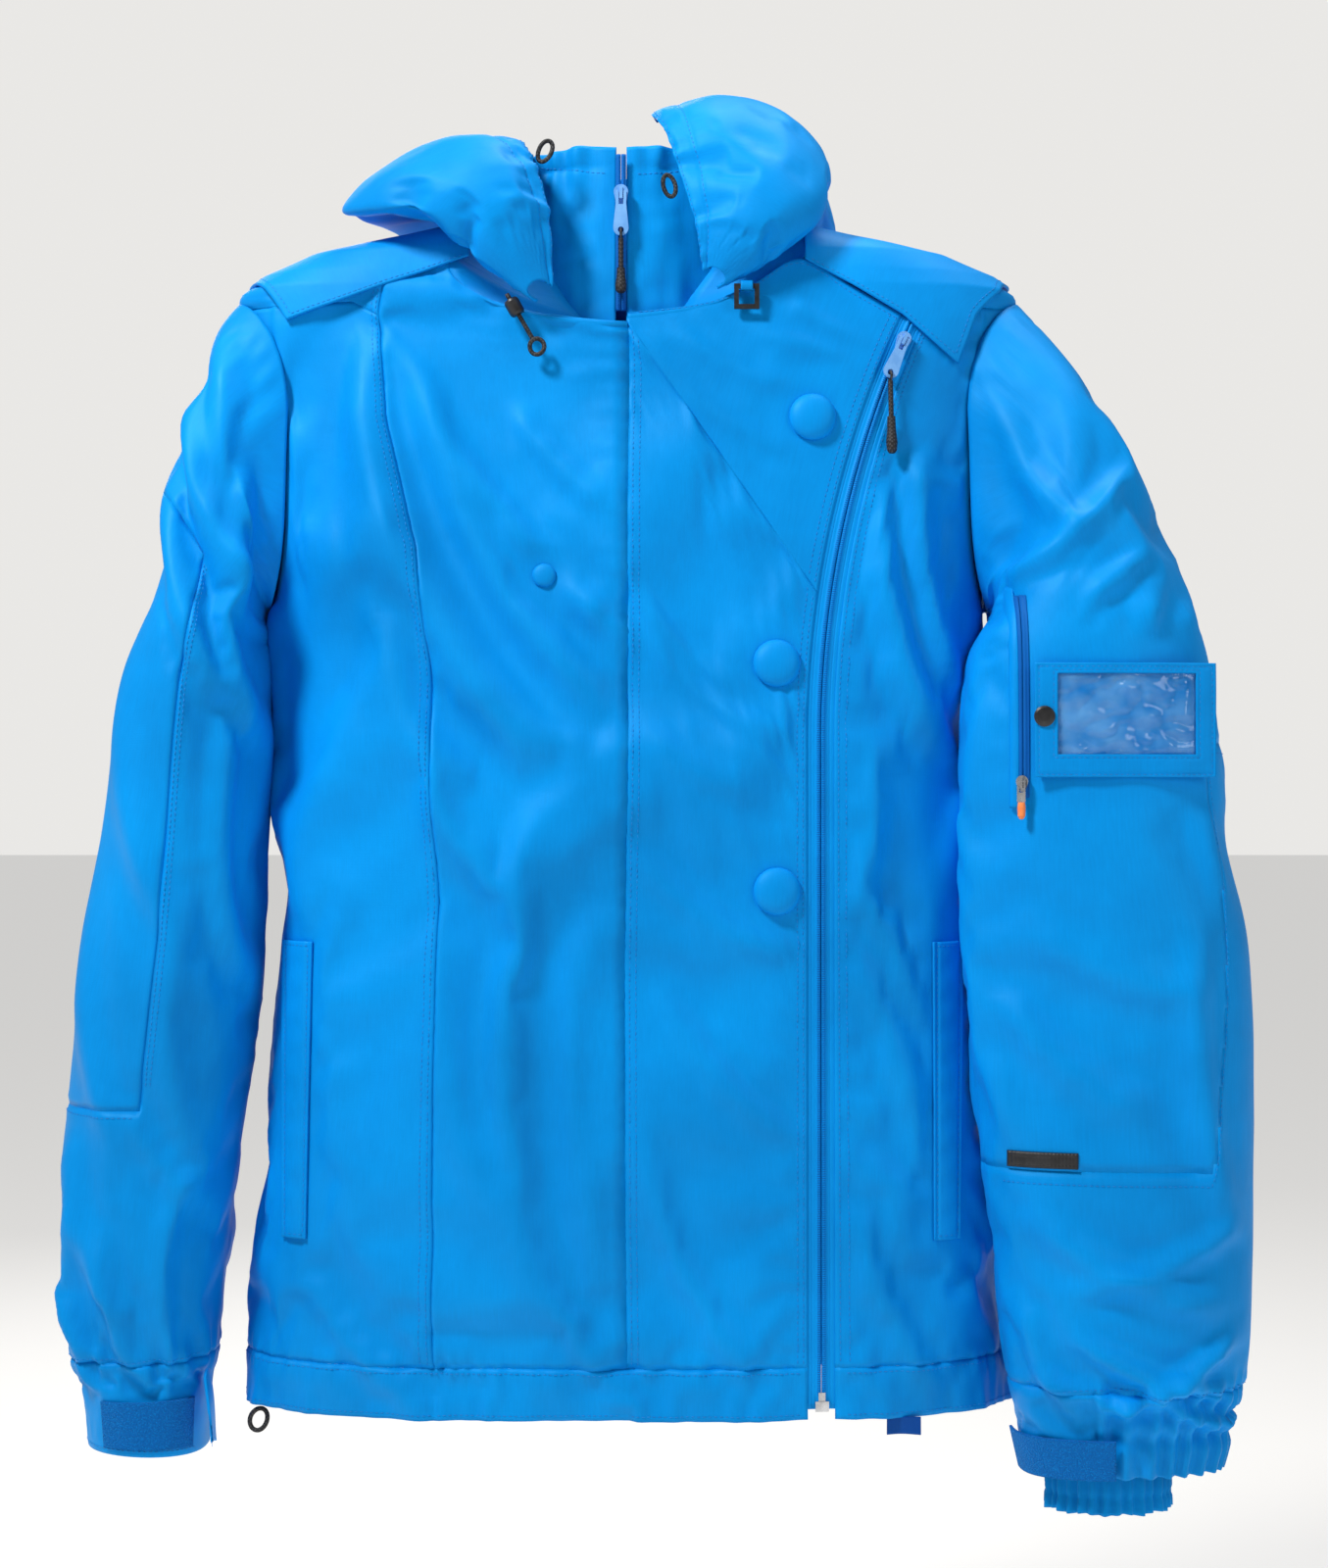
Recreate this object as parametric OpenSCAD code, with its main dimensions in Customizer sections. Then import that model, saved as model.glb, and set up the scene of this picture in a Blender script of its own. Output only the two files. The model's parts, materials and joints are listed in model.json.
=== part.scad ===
// Ski jacket with a slanting front zip, a fold-back lapel, a lying hood and a lift-pass sleeve pocket.
// It is modelled as it hangs from a coat hanger. +X is the wearer's left, +Y the back, +Z up.
// The origin is the centre of the neck opening, where the hook of a hanger comes out.

/* [Body] */
// Half width at the hem
hem_half_w = 234; // [225:1:240]
// Half width at the waist
waist_half_w = 212; // [205:1:213]
// Depth from the body's middle to its front at the hem
hem_front_d = 95; // [90:1:100]
// Depth from the body's middle to its back at the hem
hem_back_d = 88; // [80:1:95]
// Height of the hem below the neck
hem_drop = 720; // [710:1:730]
// Height of the band that closes the hem
hem_band_h = 30; // [25:1:35]
// Thickness of the shell fabric with its backing
cloth = 2; // [1.6:0.1:2.4]

/* [Front zip] */
// Distance of the straight stretch from the middle
zip_x0 = 114; // [110:1:118]
// Radius of the curved stretch
zip_r = 605; // [590:5:620]
// Height below the neck at which the curve begins
zip_turn = 325; // [320:1:330]
// Half width of the tape that shows
tape_half = 7.6; // [7:0.1:7.7]

/* [Buttons] */
// Diameter of a covered button
button_d = 28; // [26:0.5:30]
// Height of a covered button
button_h = 6.5; // [5:0.5:7]
// Diameter of a snap's cap
snap_d = 14; // [12:0.5:15]

/* [Collar and hood] */
// Height of the collar above the neck
collar_top = 36; // [32:1:40]
// Half width of the collar
collar_half_w = 72; // [70:1:74]
// Half depth of the collar
collar_half_d = 48; // [46:1:49]

/* [Lift-pass flap] */
// Width of the flap
flap_w = 106; // [102:1:108]
// Height of the flap
flap_h = 66; // [62:1:68]
// Width of its clear window
window_w = 82; // [78:1:84]
// Height of its clear window
window_h = 47; // [44:1:50]

/* [Hidden] */

blue = [0.03, 0.52, 0.88];
deep_blue = [0.05, 0.30, 0.68];
light_blue = [0.42, 0.70, 0.96];
black = [0.05, 0.05, 0.06];
silver = [0.78, 0.78, 0.80];
orange = [0.95, 0.45, 0.15];
clear = [0.80, 0.88, 0.95, 0.5];

round_fn = 48;
small_fn = 24;
squareness = 3; // exponent of the body's cross-section
gap = 0.3;      // running gap between pieces that only lie on each other

// ---------------------------------------------------------------- helpers

function mix(a, b, t) = a + (b - a) * t;
function unit(v) = v / max(norm(v), 1e-6);
function curve_point(p, q, r, s, t) =
    0.5 * (2 * q + (r - p) * t + (2 * p - 5 * q + 4 * r - s) * t * t
        + (3 * q - p - 3 * r + s) * t * t * t);
// A smooth curve through the points of a list, for t from 0 to its last index.
function along(list, t) =
    let (last = len(list) - 1, k = min(floor(t), last - 1))
    curve_point(list[max(k - 1, 0)], list[k], list[k + 1], list[min(k + 2, last)], t - k);

// A closed sheet between two offsets of the surface f(i, j), for the grid cells that keep accepts.
module sheet(f, ni, nj, low, high, keep = function (i, j) true, wrap = false) {
    columns = wrap ? ni : ni + 1;
    rows = nj + 1;
    function turn(i) = wrap ? (i + ni) % ni : i;
    function normal_of(i, j) =
        let (
            left = wrap ? f(turn(i - 1), j) : f(i - 1, j),
            right = wrap ? f(turn(i + 1), j) : f(i + 1, j)
        )
        unit(cross(right - left, f(i, j + 1) - f(i, j - 1)));
    frame = [for (i = [0:columns - 1]) for (j = [0:nj]) [f(i, j), normal_of(i, j)]];
    outer = [for (p = frame) p[0] + high * p[1]];
    inner = [for (p = frame) p[0] + low * p[1]];
    n = len(frame);
    function at(i, j) = turn(i) * rows + j;
    function kept(i, j) =
        j >= 0 && j < nj && (wrap || (i >= 0 && i < ni)) && keep(turn(i), j);
    function quad(a, b, c, d) = [[a, b, c], [a, c, d]];
    cells = [for (i = [0:ni - 1]) for (j = [0:nj - 1]) if (kept(i, j)) [i, j]];
    faces = [
        for (c = cells)
            let (
                i = c[0], j = c[1],
                a = at(i, j), b = at(i, j + 1), d = at(i + 1, j), e = at(i + 1, j + 1)
            )
            each concat(
                quad(a, b, e, d),
                [[a + n, e + n, b + n], [a + n, d + n, e + n]],
                kept(i - 1, j) ? [] : quad(a + n, b + n, b, a),
                kept(i + 1, j) ? [] : quad(d + n, d, e, e + n),
                kept(i, j - 1) ? [] : quad(a + n, a, d, d + n),
                kept(i, j + 1) ? [] : quad(b + n, e + n, e, b)
            )
    ];
    polyhedron(concat(outer, inner), faces, convexity = 10);
}

// Stands its children, drawn along +Z, on a point with their axis along n.
module stand(p, n) {
    translate(p) rotate([0, acos(n[2]), atan2(n[1], n[0])]) children();
}

// ---------------------------------------------------------------- the body's form

function half_w(z) = lookup(z, [
    [-hem_drop, hem_half_w], [-600, 226], [-430, waist_half_w], [-320, 213], [-235, 217],
    [-120, 227], [-70, 238], [-50, 237], [-40, 222], [-28, 195], [-15, 135], [-5, 92], [0, 88]]);
function front_d(z) = lookup(z, [
    [-hem_drop, hem_front_d], [-500, 92], [-325, 88], [-84, 65], [-60, 61], [-30, 56], [-5, 52]]);
function back_d(z) = lookup(z, [
    [-hem_drop, hem_back_d], [-400, 80], [-200, 75], [-60, 62], [-30, 56], [-5, 53]]);
function power(v) = sign(v) * pow(abs(v), 2 / squareness);
function body_at(th, z) =
    [half_w(z) * power(cos(th)), (sin(th) < 0 ? front_d(z) : back_d(z)) * power(sin(th)), z];
// The angle at which the front passes through x.
function angle_of(x, z) =
    let (a = acos(pow(min(1, abs(x) / half_w(z)), squareness / 2))) x < 0 ? 180 + a : 360 - a;
function front_at(x, z) = body_at(angle_of(x, z), z);
function front_normal(x, z) =
    unit(cross(front_at(x + 2, z) - front_at(x - 2, z), front_at(x, z + 2) - front_at(x, z - 2)));
function side_x(y, z) =
    half_w(z) * pow(1 - pow(abs(y) / (y < 0 ? front_d(z) : back_d(z)), squareness), 1 / squareness);
function ridge_z(x) = lookup(x, [[88, 0], [92, -5], [135, -15], [195, -28], [222, -40], [237, -50]]);

// The zip runs straight up and then along an arc that bends to the wearer's left.
zip_cx = zip_x0 + zip_r;
function zip_x(z) =
    z < -zip_turn ? zip_x0 : zip_cx - sqrt(zip_r * zip_r - (z + zip_turn) * (z + zip_turn));
zip_top = -66;
zip_bottom = -714;
edge_gap = 8; // from the zip's middle to the cloth's edge
fold_low = -235;
fold_high = -72;

// Column keys, as angles: zip edge, armhole, side, armhole, back, armhole, side, armhole,
// princess seam, centre seam, zip edge.
column_at = [0, 4, 8, 12, 24, 28, 32, 37, 42, 47];
columns = 47;
rows = 25;
armhole_angle = 30;
princess = [[-720, -113], [-406, -113], [-290, -115], [-209, -122], [-133, -142], [-60, -150]];
function zip_edge_angle(z) =
    z <= -60
        ? angle_of(zip_x(z) + edge_gap, z) - 360
        : mix(angle_of(zip_x(-60) + edge_gap, -60) - 360, -66, min(1, (z + 60) / 29));
function key_angle(k, z) =
    k == 0 ? zip_edge_angle(z)
    : k == 1 ? -armhole_angle
    : k == 2 ? 0
    : k == 3 ? armhole_angle
    : k == 4 ? 180 - armhole_angle
    : k == 5 ? 180
    : k == 6 ? 180 + armhole_angle
    : k == 7 ? mix(angle_of(lookup(z, princess), z), 242, max(0, min(1, (z + 75) / 45)))
    : k == 8 ? 270
    : angle_of(zip_x(z) - edge_gap, z);
function column_angle(i, z) =
    let (
        c = max(0, min(columns, i)),
        k = max([for (n = [0:8]) if (column_at[n] <= c) n]),
        t = (c - column_at[k]) / (column_at[k + 1] - column_at[k])
    )
    c > 42
        ? angle_of(t * (zip_x(min(z, fold_low)) - edge_gap), z)
        : mix(key_angle(k, z), key_angle(k + 1, z), t);
// Height of the neck edge, by angle.
function neck_z(th) =
    let (a = th > 180 ? 540 - th - 360 : th, f = a > 0 ? a : -a)
    sin(th) > 0 ? -2 - 3 * abs(cos(th))
    : lookup(abs(sin(th)), [[0, -5], [0.5, -10], [0.71, -15], [0.87, -24], [0.934, -31], [1, -70]]);
function fold_z(t) = mix(fold_high, fold_low, t);
function top_z(i) =
    i > 42 ? fold_z((i - 42) / 5)
    : i == 42 ? fold_high
    : neck_z(column_angle(i, -30));
// Height of a grid row, for a column.
function row_z(i, j) =
    let (
        low = -hem_drop + hem_band_h,
        under = lookup(i, [[0, -235], [36, -235], [42, -265], [47, -400]]),
        over = lookup(i, [[0, -60], [36, -60], [42, -115], [47, -290]])
    )
    j <= 0 ? -hem_drop + j * hem_band_h
    : j < 1 ? mix(-hem_drop, low, j)
    : j <= 15 ? mix(low, under, (j - 1) / 14)
    : j <= 21 ? mix(under, over, (j - 15) / 6)
    : mix(over, top_z(i), (j - 21) / 4);
function body_grid(i, j) =
    let (c = max(0, min(columns, i)), r = max(0, min(rows, j)), z = row_z(c, r))
    body_at(column_angle(c, z), z);
function in_armhole(i, j) = j >= 15 && j < 21 && ((i >= 4 && i < 12) || (i >= 24 && i < 32));

module body_piece(low, high, keep) {
    sheet(function (i, j) body_grid(i, j), columns, rows, low, high,
        function (i, j) !in_armhole(i, j) && keep(i, j));
}
module shell_piece(keep) { color(blue) body_piece(-cloth, 0, keep); }

yoke_row = 18;
module back_panel() shell_piece(function (i, j) i >= 8 && i < 28 && j >= 1 && j < yoke_row);
module back_yoke() shell_piece(function (i, j) i >= 8 && i < 28 && j >= yoke_row);
module left_front_panel() shell_piece(function (i, j) i < 8 && j >= 1 && j < 21);
module left_shoulder_panel() shell_piece(function (i, j) i < 8 && j >= 21);
module right_side_panel() shell_piece(function (i, j) i >= 28 && i < 37 && j >= 1 && j < 21);
module right_shoulder_panel() shell_piece(function (i, j) i >= 28 && i < 37 && j >= 21);
module right_front_panel() shell_piece(function (i, j) i >= 37 && i < 42 && j >= 1);
module front_flap() shell_piece(function (i, j) i >= 42 && j >= 1);
module hem_band() shell_piece(function (i, j) j < 1);

// ---------------------------------------------------------------- front

lapel_gap = 0.25; // slit along the fold
lapel_top = [[0, -67], [45, -61], [75, -49], [104, -33], [135, -50], [zip_x(zip_top) - edge_gap, zip_top]];
function lapel_grid(i, j) =
    let (
        s = max(0, min(5, i)) / 5, t = max(0, min(6, j)) / 6,
        z0 = fold_z(s), low = [body_grid(42 + 5 * s, rows)[0] + lapel_gap, z0 + lapel_gap],
        high = along(lapel_top, 5 * s) + [s < 0.01 ? 5 : 0, 0],
        end_z = mix(fold_low, zip_top, t),
        end = [zip_x(end_z) - edge_gap, end_z],
        straight = mix([zip_x(fold_low) - edge_gap, fold_low], lapel_top[5], t),
        p = mix(low, high, t) + s * (end - straight)
    )
    front_at(p[0], p[1]);
module lapel() color(blue) sheet(function (i, j) lapel_grid(i, j), 5, 6, -cloth, 0);

// Half of the zip: a strip of tape, with the ridge that covers its coil along the inner edge.
module half_zip(side) {
    coil_half = 2.6;
    slit = 0.15;
    top = side > 0 ? zip_top + 6 : zip_top;
    n = 26;
    function place(a, b, i, j) =
        let (z = mix(zip_bottom, top, j / n), x = side > 0 ? mix(a, b, i) : mix(-b, -a, i))
        front_at(zip_x(z) + x, z);
    color(deep_blue) {
        sheet(function (i, j) place(slit, tape_half, i, j), 1, n, -1.4, -0.5);
        sheet(function (i, j) place(slit, coil_half, i, j), 1, n, -0.45, 0.4);
    }
}
module zip_tape_left() half_zip(1);
module zip_tape_right() half_zip(-1);
module zip_bottom_box() {
    p = front_at(zip_x0, -712);
    n = front_normal(zip_x0, -712);
    color(silver) stand(p + 0.6 * n, n)
        translate([0, 0, 1.2]) rotate([0, 0, 0]) {
            cube([6, 8, 2.2], center = true);
            translate([-5.5, 0, -0.3]) cube([5, 4, 1.6], center = true);
        }
}

// The placket behind the flap, from below the collar to the hem.
module inner_placket() {
    function place(i, j) =
        let (z = mix(-700, -78, j / 20), x = mix(-60, 100, i / 6)) front_at(x, z);
    color(blue) sheet(function (i, j) place(i, j), 6, 20, -4.4, -3.2);
}

module lining() {
    function place(i, j) = body_at(i * 15, mix(-690, j > 13 ? -60 + (j - 13) * 34 : -60,
        j > 13 ? 1 : j / 13));
    color(deep_blue) sheet(function (i, j) place(i, j), 24, 14, -8, -7, function (i, j)
        !(i >= 16 && i < 20 && j >= 12) && !(i >= 15 && i < 21 && j >= 13)
            && !(j >= 9 && j < 13 && (i >= 22 || i < 2 || (i >= 10 && i < 14))), true);
}

module powder_skirt() {
    function place(i, j) = let (z = mix(-690, -560, j / 4)) body_at(i * 15, z);
    color(deep_blue) sheet(function (i, j) place(i, j), 24, 4, -12, -11, function (i, j) true, true);
}

// ---------------------------------------------------------------- yoke flaps

function yoke_low(side, x) = side > 0
    ? lookup(x, [[104, -33], [164, -68], [186, -88], [215, -112]])
    : lookup(x, [[95, -33], [160, -56], [222, -78]]);
function yoke_outer(side, front, w) = lookup(w, [[0, 230], [0.4, 222],
    [0.7, side > 0 && front ? 205 : 212], [1, side > 0 && front ? 195 : 201]]);
// t runs from the front edge over the ridge of the shoulder to the back edge.
function yoke_at(side, u, t) =
    let (
        w = abs(2 * t - 1), front = t < 0.5,
        x = mix(side > 0 ? 108 : 97, yoke_outer(side, front, w), u),
        zr = ridge_z(x), low = front ? yoke_low(side, x) : lookup(x, [[95, -50], [222, -95]]),
        z = zr - (zr - low) * w * w, d = front ? front_d(z) : back_d(z),
        y = d * pow(max(0, 1 - pow(x / half_w(z), squareness)), 1 / squareness)
    )
    [side * x, (front ? -1 : 1) * y, z];
module yoke_flap(side) {
    color(blue) sheet(function (i, j)
        yoke_at(side, max(0, min(1, side > 0 ? i / 6 : 1 - i / 6)), max(0, min(1, j / 10))),
        6, 10, 2.5, 4.2);
}
module left_yoke_flap() yoke_flap(1);
module right_yoke_flap() yoke_flap(-1);

// ---------------------------------------------------------------- collar, hood and loop

function collar_grid(i, j) =
    let (
        th = -90.6 + 355 * i / 28, f = max(0, -sin(th)),
        base = mix(-8, -90, f * f * f), z = mix(base, collar_top, j / 5),
        w = mix(1.05, 0.97, (z + 92) / 128)
    )
    [collar_half_w * w * cos(th), collar_half_d * w * sin(th), z];
module collar_left_half() color(blue) sheet(function (i, j) collar_grid(i, j), 28, 5, -cloth, 0, function (i, j) i < 14);
module collar_right_half() color(blue) sheet(function (i, j) collar_grid(i, j), 28, 5, -cloth, 0, function (i, j) i >= 14);

// Each row is one station around the neck, from the seam to the brim.
hood_net = [
    [[54, -62, -53], [57, -66, -51], [58, -68, -47], [55, -70, -43], [50, -69, -41], [45, -66, -43]],
    [[76, -62, -42], [82, -69, -37], [82, -76, -28], [72, -78, -19], [56, -75, -14], [40, -68, -16]],
    [[100, -57, -24], [112, -63, -14], [108, -68, 0], [88, -72, 14], [58, -69, 20], [31, -60, 18]],
    [[104, -31, -4], [121, -32, 9], [117, -36, 28], [92, -44, 48], [54, -48, 55], [22, -46, 46]],
    [[99, 8, 3], [118, 10, 15], [118, 6, 36], [94, 0, 62], [54, -6, 73], [16, -8, 62]],
    [[80, 46, 2], [112, 66, 0], [128, 86, -16], [120, 92, 20], [84, 74, 58], [40, 50, 58]],
    [[46, 60, 4], [74, 88, -70], [88, 112, -150], [84, 150, -130], [70, 142, -30], [36, 96, 44]],
    [[0, 62, 4], [0, 94, -86], [0, 112, -182], [0, 166, -180], [0, 166, -60], [0, 112, 34]],
    [[-46, 60, 4], [-74, 88, -70], [-88, 112, -150], [-84, 150, -130], [-74, 138, -30], [-44, 92, 34]],
    [[-80, 46, 2], [-116, 66, 0], [-134, 84, -14], [-138, 84, 12], [-104, 64, 40], [-58, 44, 46]],
    [[-99, 8, 3], [-134, 6, 6], [-164, 2, 3], [-152, -2, 24], [-108, -6, 46], [-62, -6, 42]],
    [[-106, -31, -3], [-140, -36, -1], [-168, -40, 0], [-146, -48, 20], [-104, -52, 40], [-62, -50, 36]],
    [[-100, -60, -21], [-117, -68, -17], [-128, -76, -8], [-106, -80, 10], [-76, -76, 20], [-54, -66, 18]],
    [[-78, -66, -44], [-86, -76, -40], [-88, -84, -28], [-76, -86, -16], [-60, -80, -10], [-46, -70, -14]],
    [[-54, -68, -62], [-57, -73, -61], [-59, -76, -56], [-55, -77, -51], [-49, -75, -50], [-44, -71, -53]],
];
function hood_grid(i, j) =
    let (s = max(0, min(14, i / 2)), t = max(0, min(5, j / 2)))
    along([for (row = hood_net) along(row, t)], s);
module hood() color(blue) sheet(function (i, j) hood_grid(i, j), 28, 10, -cloth, 0);

module hang_loop() color(deep_blue)
    translate([0, collar_half_d - 9, -4]) rotate([-90, 0, 0]) difference() {
        hull() for (x = [-19, 19]) translate([x, 0, 0]) cylinder(r = 7, h = 2.4, $fn = small_fn);
        hull() for (x = [-19, 19])
            translate([x, 0, -1]) cylinder(r = 5.2, h = 6, $fn = small_fn);
    }

// ---------------------------------------------------------------- sleeves

// Each row is one ring: inner x, inner z, outer x, outer z, middle y, half depth.
left_rings = [
    [221, -242, 256, -78, -14, 60], [219, -248, 278, -112, -30, 62], [216, -254, 304, -165, -44, 60],
    [209, -262, 326, -220, -54, 57], [203, -280, 343, -268, -61, 54], [199, -325, 351, -325, -66, 50],
    [198, -380, 356, -380, -66, 50], [200, -435, 365, -435, -66, 50], [204, -493, 368, -493, -67, 49],
    [210, -574, 368, -574, -68, 48], [216, -620, 368, -620, -68, 47], [221, -665, 367, -665, -68, 46],
    [226, -700, 364, -700, -68, 43], [232, -728, 358, -727, -66, 38], [238, -754, 352, -752, -64, 35],
];
right_rings = [
    [221, -242, 252, -72, -4, 58], [221, -247, 266, -118, -8, 64], [220, -252, 280, -170, -12, 68],
    [219, -260, 291, -222, -16, 70], [218, -275, 300, -262, -19, 71], [218, -320, 310, -318, -20, 71],
    [220, -375, 316, -375, -21, 70], [221, -435, 325, -435, -22, 68], [226, -493, 332, -493, -23, 66],
    [232, -540, 336, -540, -24, 64], [240, -600, 340, -600, -26, 60], [246, -650, 338, -650, -28, 57],
    [250, -690, 334, -690, -29, 52], [253, -712, 329, -712, -30, 49], [255, -748, 326, -744, -30, 46],
];
around = 20;
armhole_z = -148;
armhole_h = 94;
armhole_d = 47;
function flat_front(side, ph) =
    let (s = sin(ph)) s * side > 0 ? sign(s) * pow(abs(s), 0.75) : s;
// Ring 0 lies on the body around the armhole, and the others follow the list.
function ring_point(rings, side, k, ph) =
    k <= 0
        ? let (
            z = armhole_z + armhole_h * sign(cos(ph)) * sqrt(abs(cos(ph))),
            y = -side * armhole_d * sign(sin(ph)) * sqrt(abs(sin(ph)))
        )
        [side * (side_x(y, z) + 2.6 + 2.4 * abs(sin(ph))), y, z]
        : let (
            r = along(rings, k - 1),
            c = [(r[0] + r[2]) / 2, (r[1] + r[3]) / 2],
            u = [(r[2] - r[0]) / 2, (r[3] - r[1]) / 2]
        )
        [side * (c[0] + u[0] * cos(ph)), r[4] - side * r[5] * flat_front(side, ph),
            c[1] + u[1] * cos(ph)];
ring_count = 15;
module sleeve_piece(rings, side, low, high, keep) {
    color(blue) sheet(function (i, j)
        let (k = max(0, min(ring_count, j)), a = ring_point(rings, side, k, i * 360 / around)) a,
        around, ring_count, low, high, keep, true);
}
cuff_ring = 13;
function left_lower(i, j) = j >= 10 || (j >= 6 && (i >= 18 || i < 2));
function right_elbow(i, j) = j >= 3 && j < 10 && (i >= 15 || i < 4);
module left_sleeve()
    sleeve_piece(left_rings, 1, -cloth, 0, function (i, j) j < cuff_ring && !left_lower(i, j));
module left_lower_sleeve()
    sleeve_piece(left_rings, 1, -cloth, 0, function (i, j) j < cuff_ring && left_lower(i, j));
module left_cuff() sleeve_piece(left_rings, 1, -cloth, 0, function (i, j) j >= cuff_ring);
module right_sleeve()
    sleeve_piece(right_rings, -1, -cloth, 0, function (i, j) j < cuff_ring && !right_elbow(i, j));
module right_elbow_panel() sleeve_piece(right_rings, -1, -cloth, 0, function (i, j) right_elbow(i, j));
module right_cuff() sleeve_piece(right_rings, -1, -cloth, 0, function (i, j) j >= cuff_ring);

// The stretch gaiter inside a cuff: a tube from inside the sleeve to just below the cuff.
module gaiter(side, cx, cy, top, bottom, rx, ry) {
    color(blue) sheet(function (i, j)
        [side * (cx + rx * cos(i * 18)), cy - side * ry * sin(i * 18), mix(top, bottom, j / 3)],
        around, 3, -1.6, 0, function (i, j) true, true);
}
module left_cuff_gaiter() gaiter(1, 286, -64, -715, -777, 36, 25);
module right_cuff_gaiter() gaiter(-1, 291, -30, -700, -744, 26, 34);

// A patch on a sleeve between two rings and two angles.
module sleeve_patch(rings, side, k0, k1, a0, a1, low, high, ni, nj) {
    sheet(function (i, j) ring_point(rings, side, mix(k0, k1, j / nj), mix(a0, a1, i / ni)),
        ni, nj, low, high);
}
module left_cuff_tab() color(blue) sleeve_patch(left_rings, 1, 14.05, 15, 100, 186, 1, 2.6, 6, 2);
module right_loop_patch() color(deep_blue)
    sleeve_patch(right_rings, -1, 14.02, 14.8, 215, 300, 0.8, 2, 8, 2);
module right_cuff_tab() color(blue) {
    hull() {
        translate([-251, -56, -702]) cube([1.6, 16, 6], center = true);
        translate([-246, -62, -738]) cube([1.6, 20, 6], center = true);
        translate([-243, -66, -724]) cube([1.6, 20, 6], center = true);
    }
}

// ---------------------------------------------------------------- pockets

module pocket_welt(side) {
    function place(i, j) = front_at(side > 0
        ? mix(181, mix(197, 200, j / 8), i / 3)
        : -mix(mix(205, 207, j / 8), mix(190, 187, j / 8), i / 3), mix(-618, -442, j / 8));
    color(blue) sheet(function (i, j) place(i, j), 3, 8, 1, 2.6);
}
module left_pocket_welt() pocket_welt(1);
module right_pocket_welt() pocket_welt(-1);
module pocket_bags() color(deep_blue) {
    body_piece(-4.2, -3, function (i, j) i >= 1 && i < 6 && j >= 3 && j < 9);
    body_piece(-4.2, -3, function (i, j) i >= 30 && i < 37 && j >= 3 && j < 9);
}

// ---------------------------------------------------------------- sliders and pullers

// Drawn with the tape along X, the wide end at +X, and the outside along +Z.
module slider_body(w = 8.6, len = 13) {
    hull() {
        translate([len / 2 - w / 2, 0, 0]) cylinder(r = w / 2, h = 2, $fn = 32);
        translate([-len / 2 + 3, 0, 0]) cylinder(r = w / 2 - 1.2, h = 2, $fn = 32);
    }
    difference() {
        translate([-2.4, -1, 1.8]) cube([7, 2, 3.2]);
        translate([pin_x, 0, pin_z]) rotate([90, 0, 0])
            cylinder(r = pin_hole_r, h = 4, center = true, $fn = small_fn);
    }
}
pin_r = 0.6;
pin_hole_r = 0.75;
pin_x = 1.6;  // the puller's pin, in the slider's own frame
pin_z = 3.6;
tab_len = 24;
eye_r = 1.8;
tab_eye = pin_x - tab_len + 1.2; // middle of the eye at the tab's foot
// A pull tab with a fork at its top and an eye at its foot; it lies along -X from the pin.
module puller_tab() {
    translate([pin_x, 0, pin_z]) rotate([90, 0, 0])
        cylinder(r = pin_r, h = 6.4, center = true, $fn = small_fn);
    for (y = [-2.3, 2.3]) translate([pin_x - 10, y - 0.9, pin_z - 0.8]) cube([11, 1.8, 1.6]);
    translate([pin_x - tab_len, 0, pin_z - 0.8]) linear_extrude(1.6) difference() {
        hull() {
            translate([2.4, 0]) circle(r = 4.6, $fn = 32);
            translate([tab_len - 9, 0]) square([3, 6.4], center = true);
        }
        translate([1.2, 0]) circle(r = eye_r, $fn = small_fn);
    }
}
// The cord and moulded grip below a tab. The origin is the tab's eye and it hangs along -X.
module puller_cord(stem, grip) {
    translate([-2.25, 0, 0]) rotate([90, 0, 0]) rotate_extrude($fn = 32)
        translate([2.75, 0]) circle(r = 0.8, $fn = 16);
    translate([-5 - stem, 0, 0]) rotate([0, 90, 0]) cylinder(r = 1.5, h = stem, $fn = small_fn);
    translate([-4.8 - stem, 0, 0]) rotate([0, -90, 0]) rotate_extrude($fn = 32)
        polygon([[0, 0], [2.4, 0], [2.6, grip * 0.35], [3.4, grip * 0.7], [3, grip * 0.92],
            [1.8, grip], [0, grip]]);
}
// Puts a frame on a surface: +X along up, +Z along n.
module on_surface(p, n, up) {
    side = cross(n, up);
    multmatrix([
        [up[0], side[0], n[0], p[0]], [up[1], side[1], n[1], p[1]], [up[2], side[2], n[2], p[2]],
        [0, 0, 0, 1]]) children();
}
function in_plane(v, n) = unit(v - (v * n) * n);

main_z = -84;
slider_lift = 0.9; // above the surface, clear of the tape's ridge
main_n = front_normal(zip_x(main_z), main_z);
main_p = front_at(zip_x(main_z), main_z) + slider_lift * main_n;
main_t = in_plane(front_at(zip_x(main_z + 5), main_z + 5) - front_at(zip_x(main_z - 5), main_z - 5),
    main_n);
main_eye = main_p + tab_eye * main_t + pin_z * main_n;
module at_main() on_surface(main_p, main_n, main_t) children();
module main_slider() color(light_blue) at_main() slider_body();
module main_puller_tab() color(light_blue) at_main() puller_tab();
module main_puller_cord() color(black)
    on_surface(main_eye, main_n, in_plane([0, 0, 1], main_n)) puller_cord(22, 22);

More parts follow.
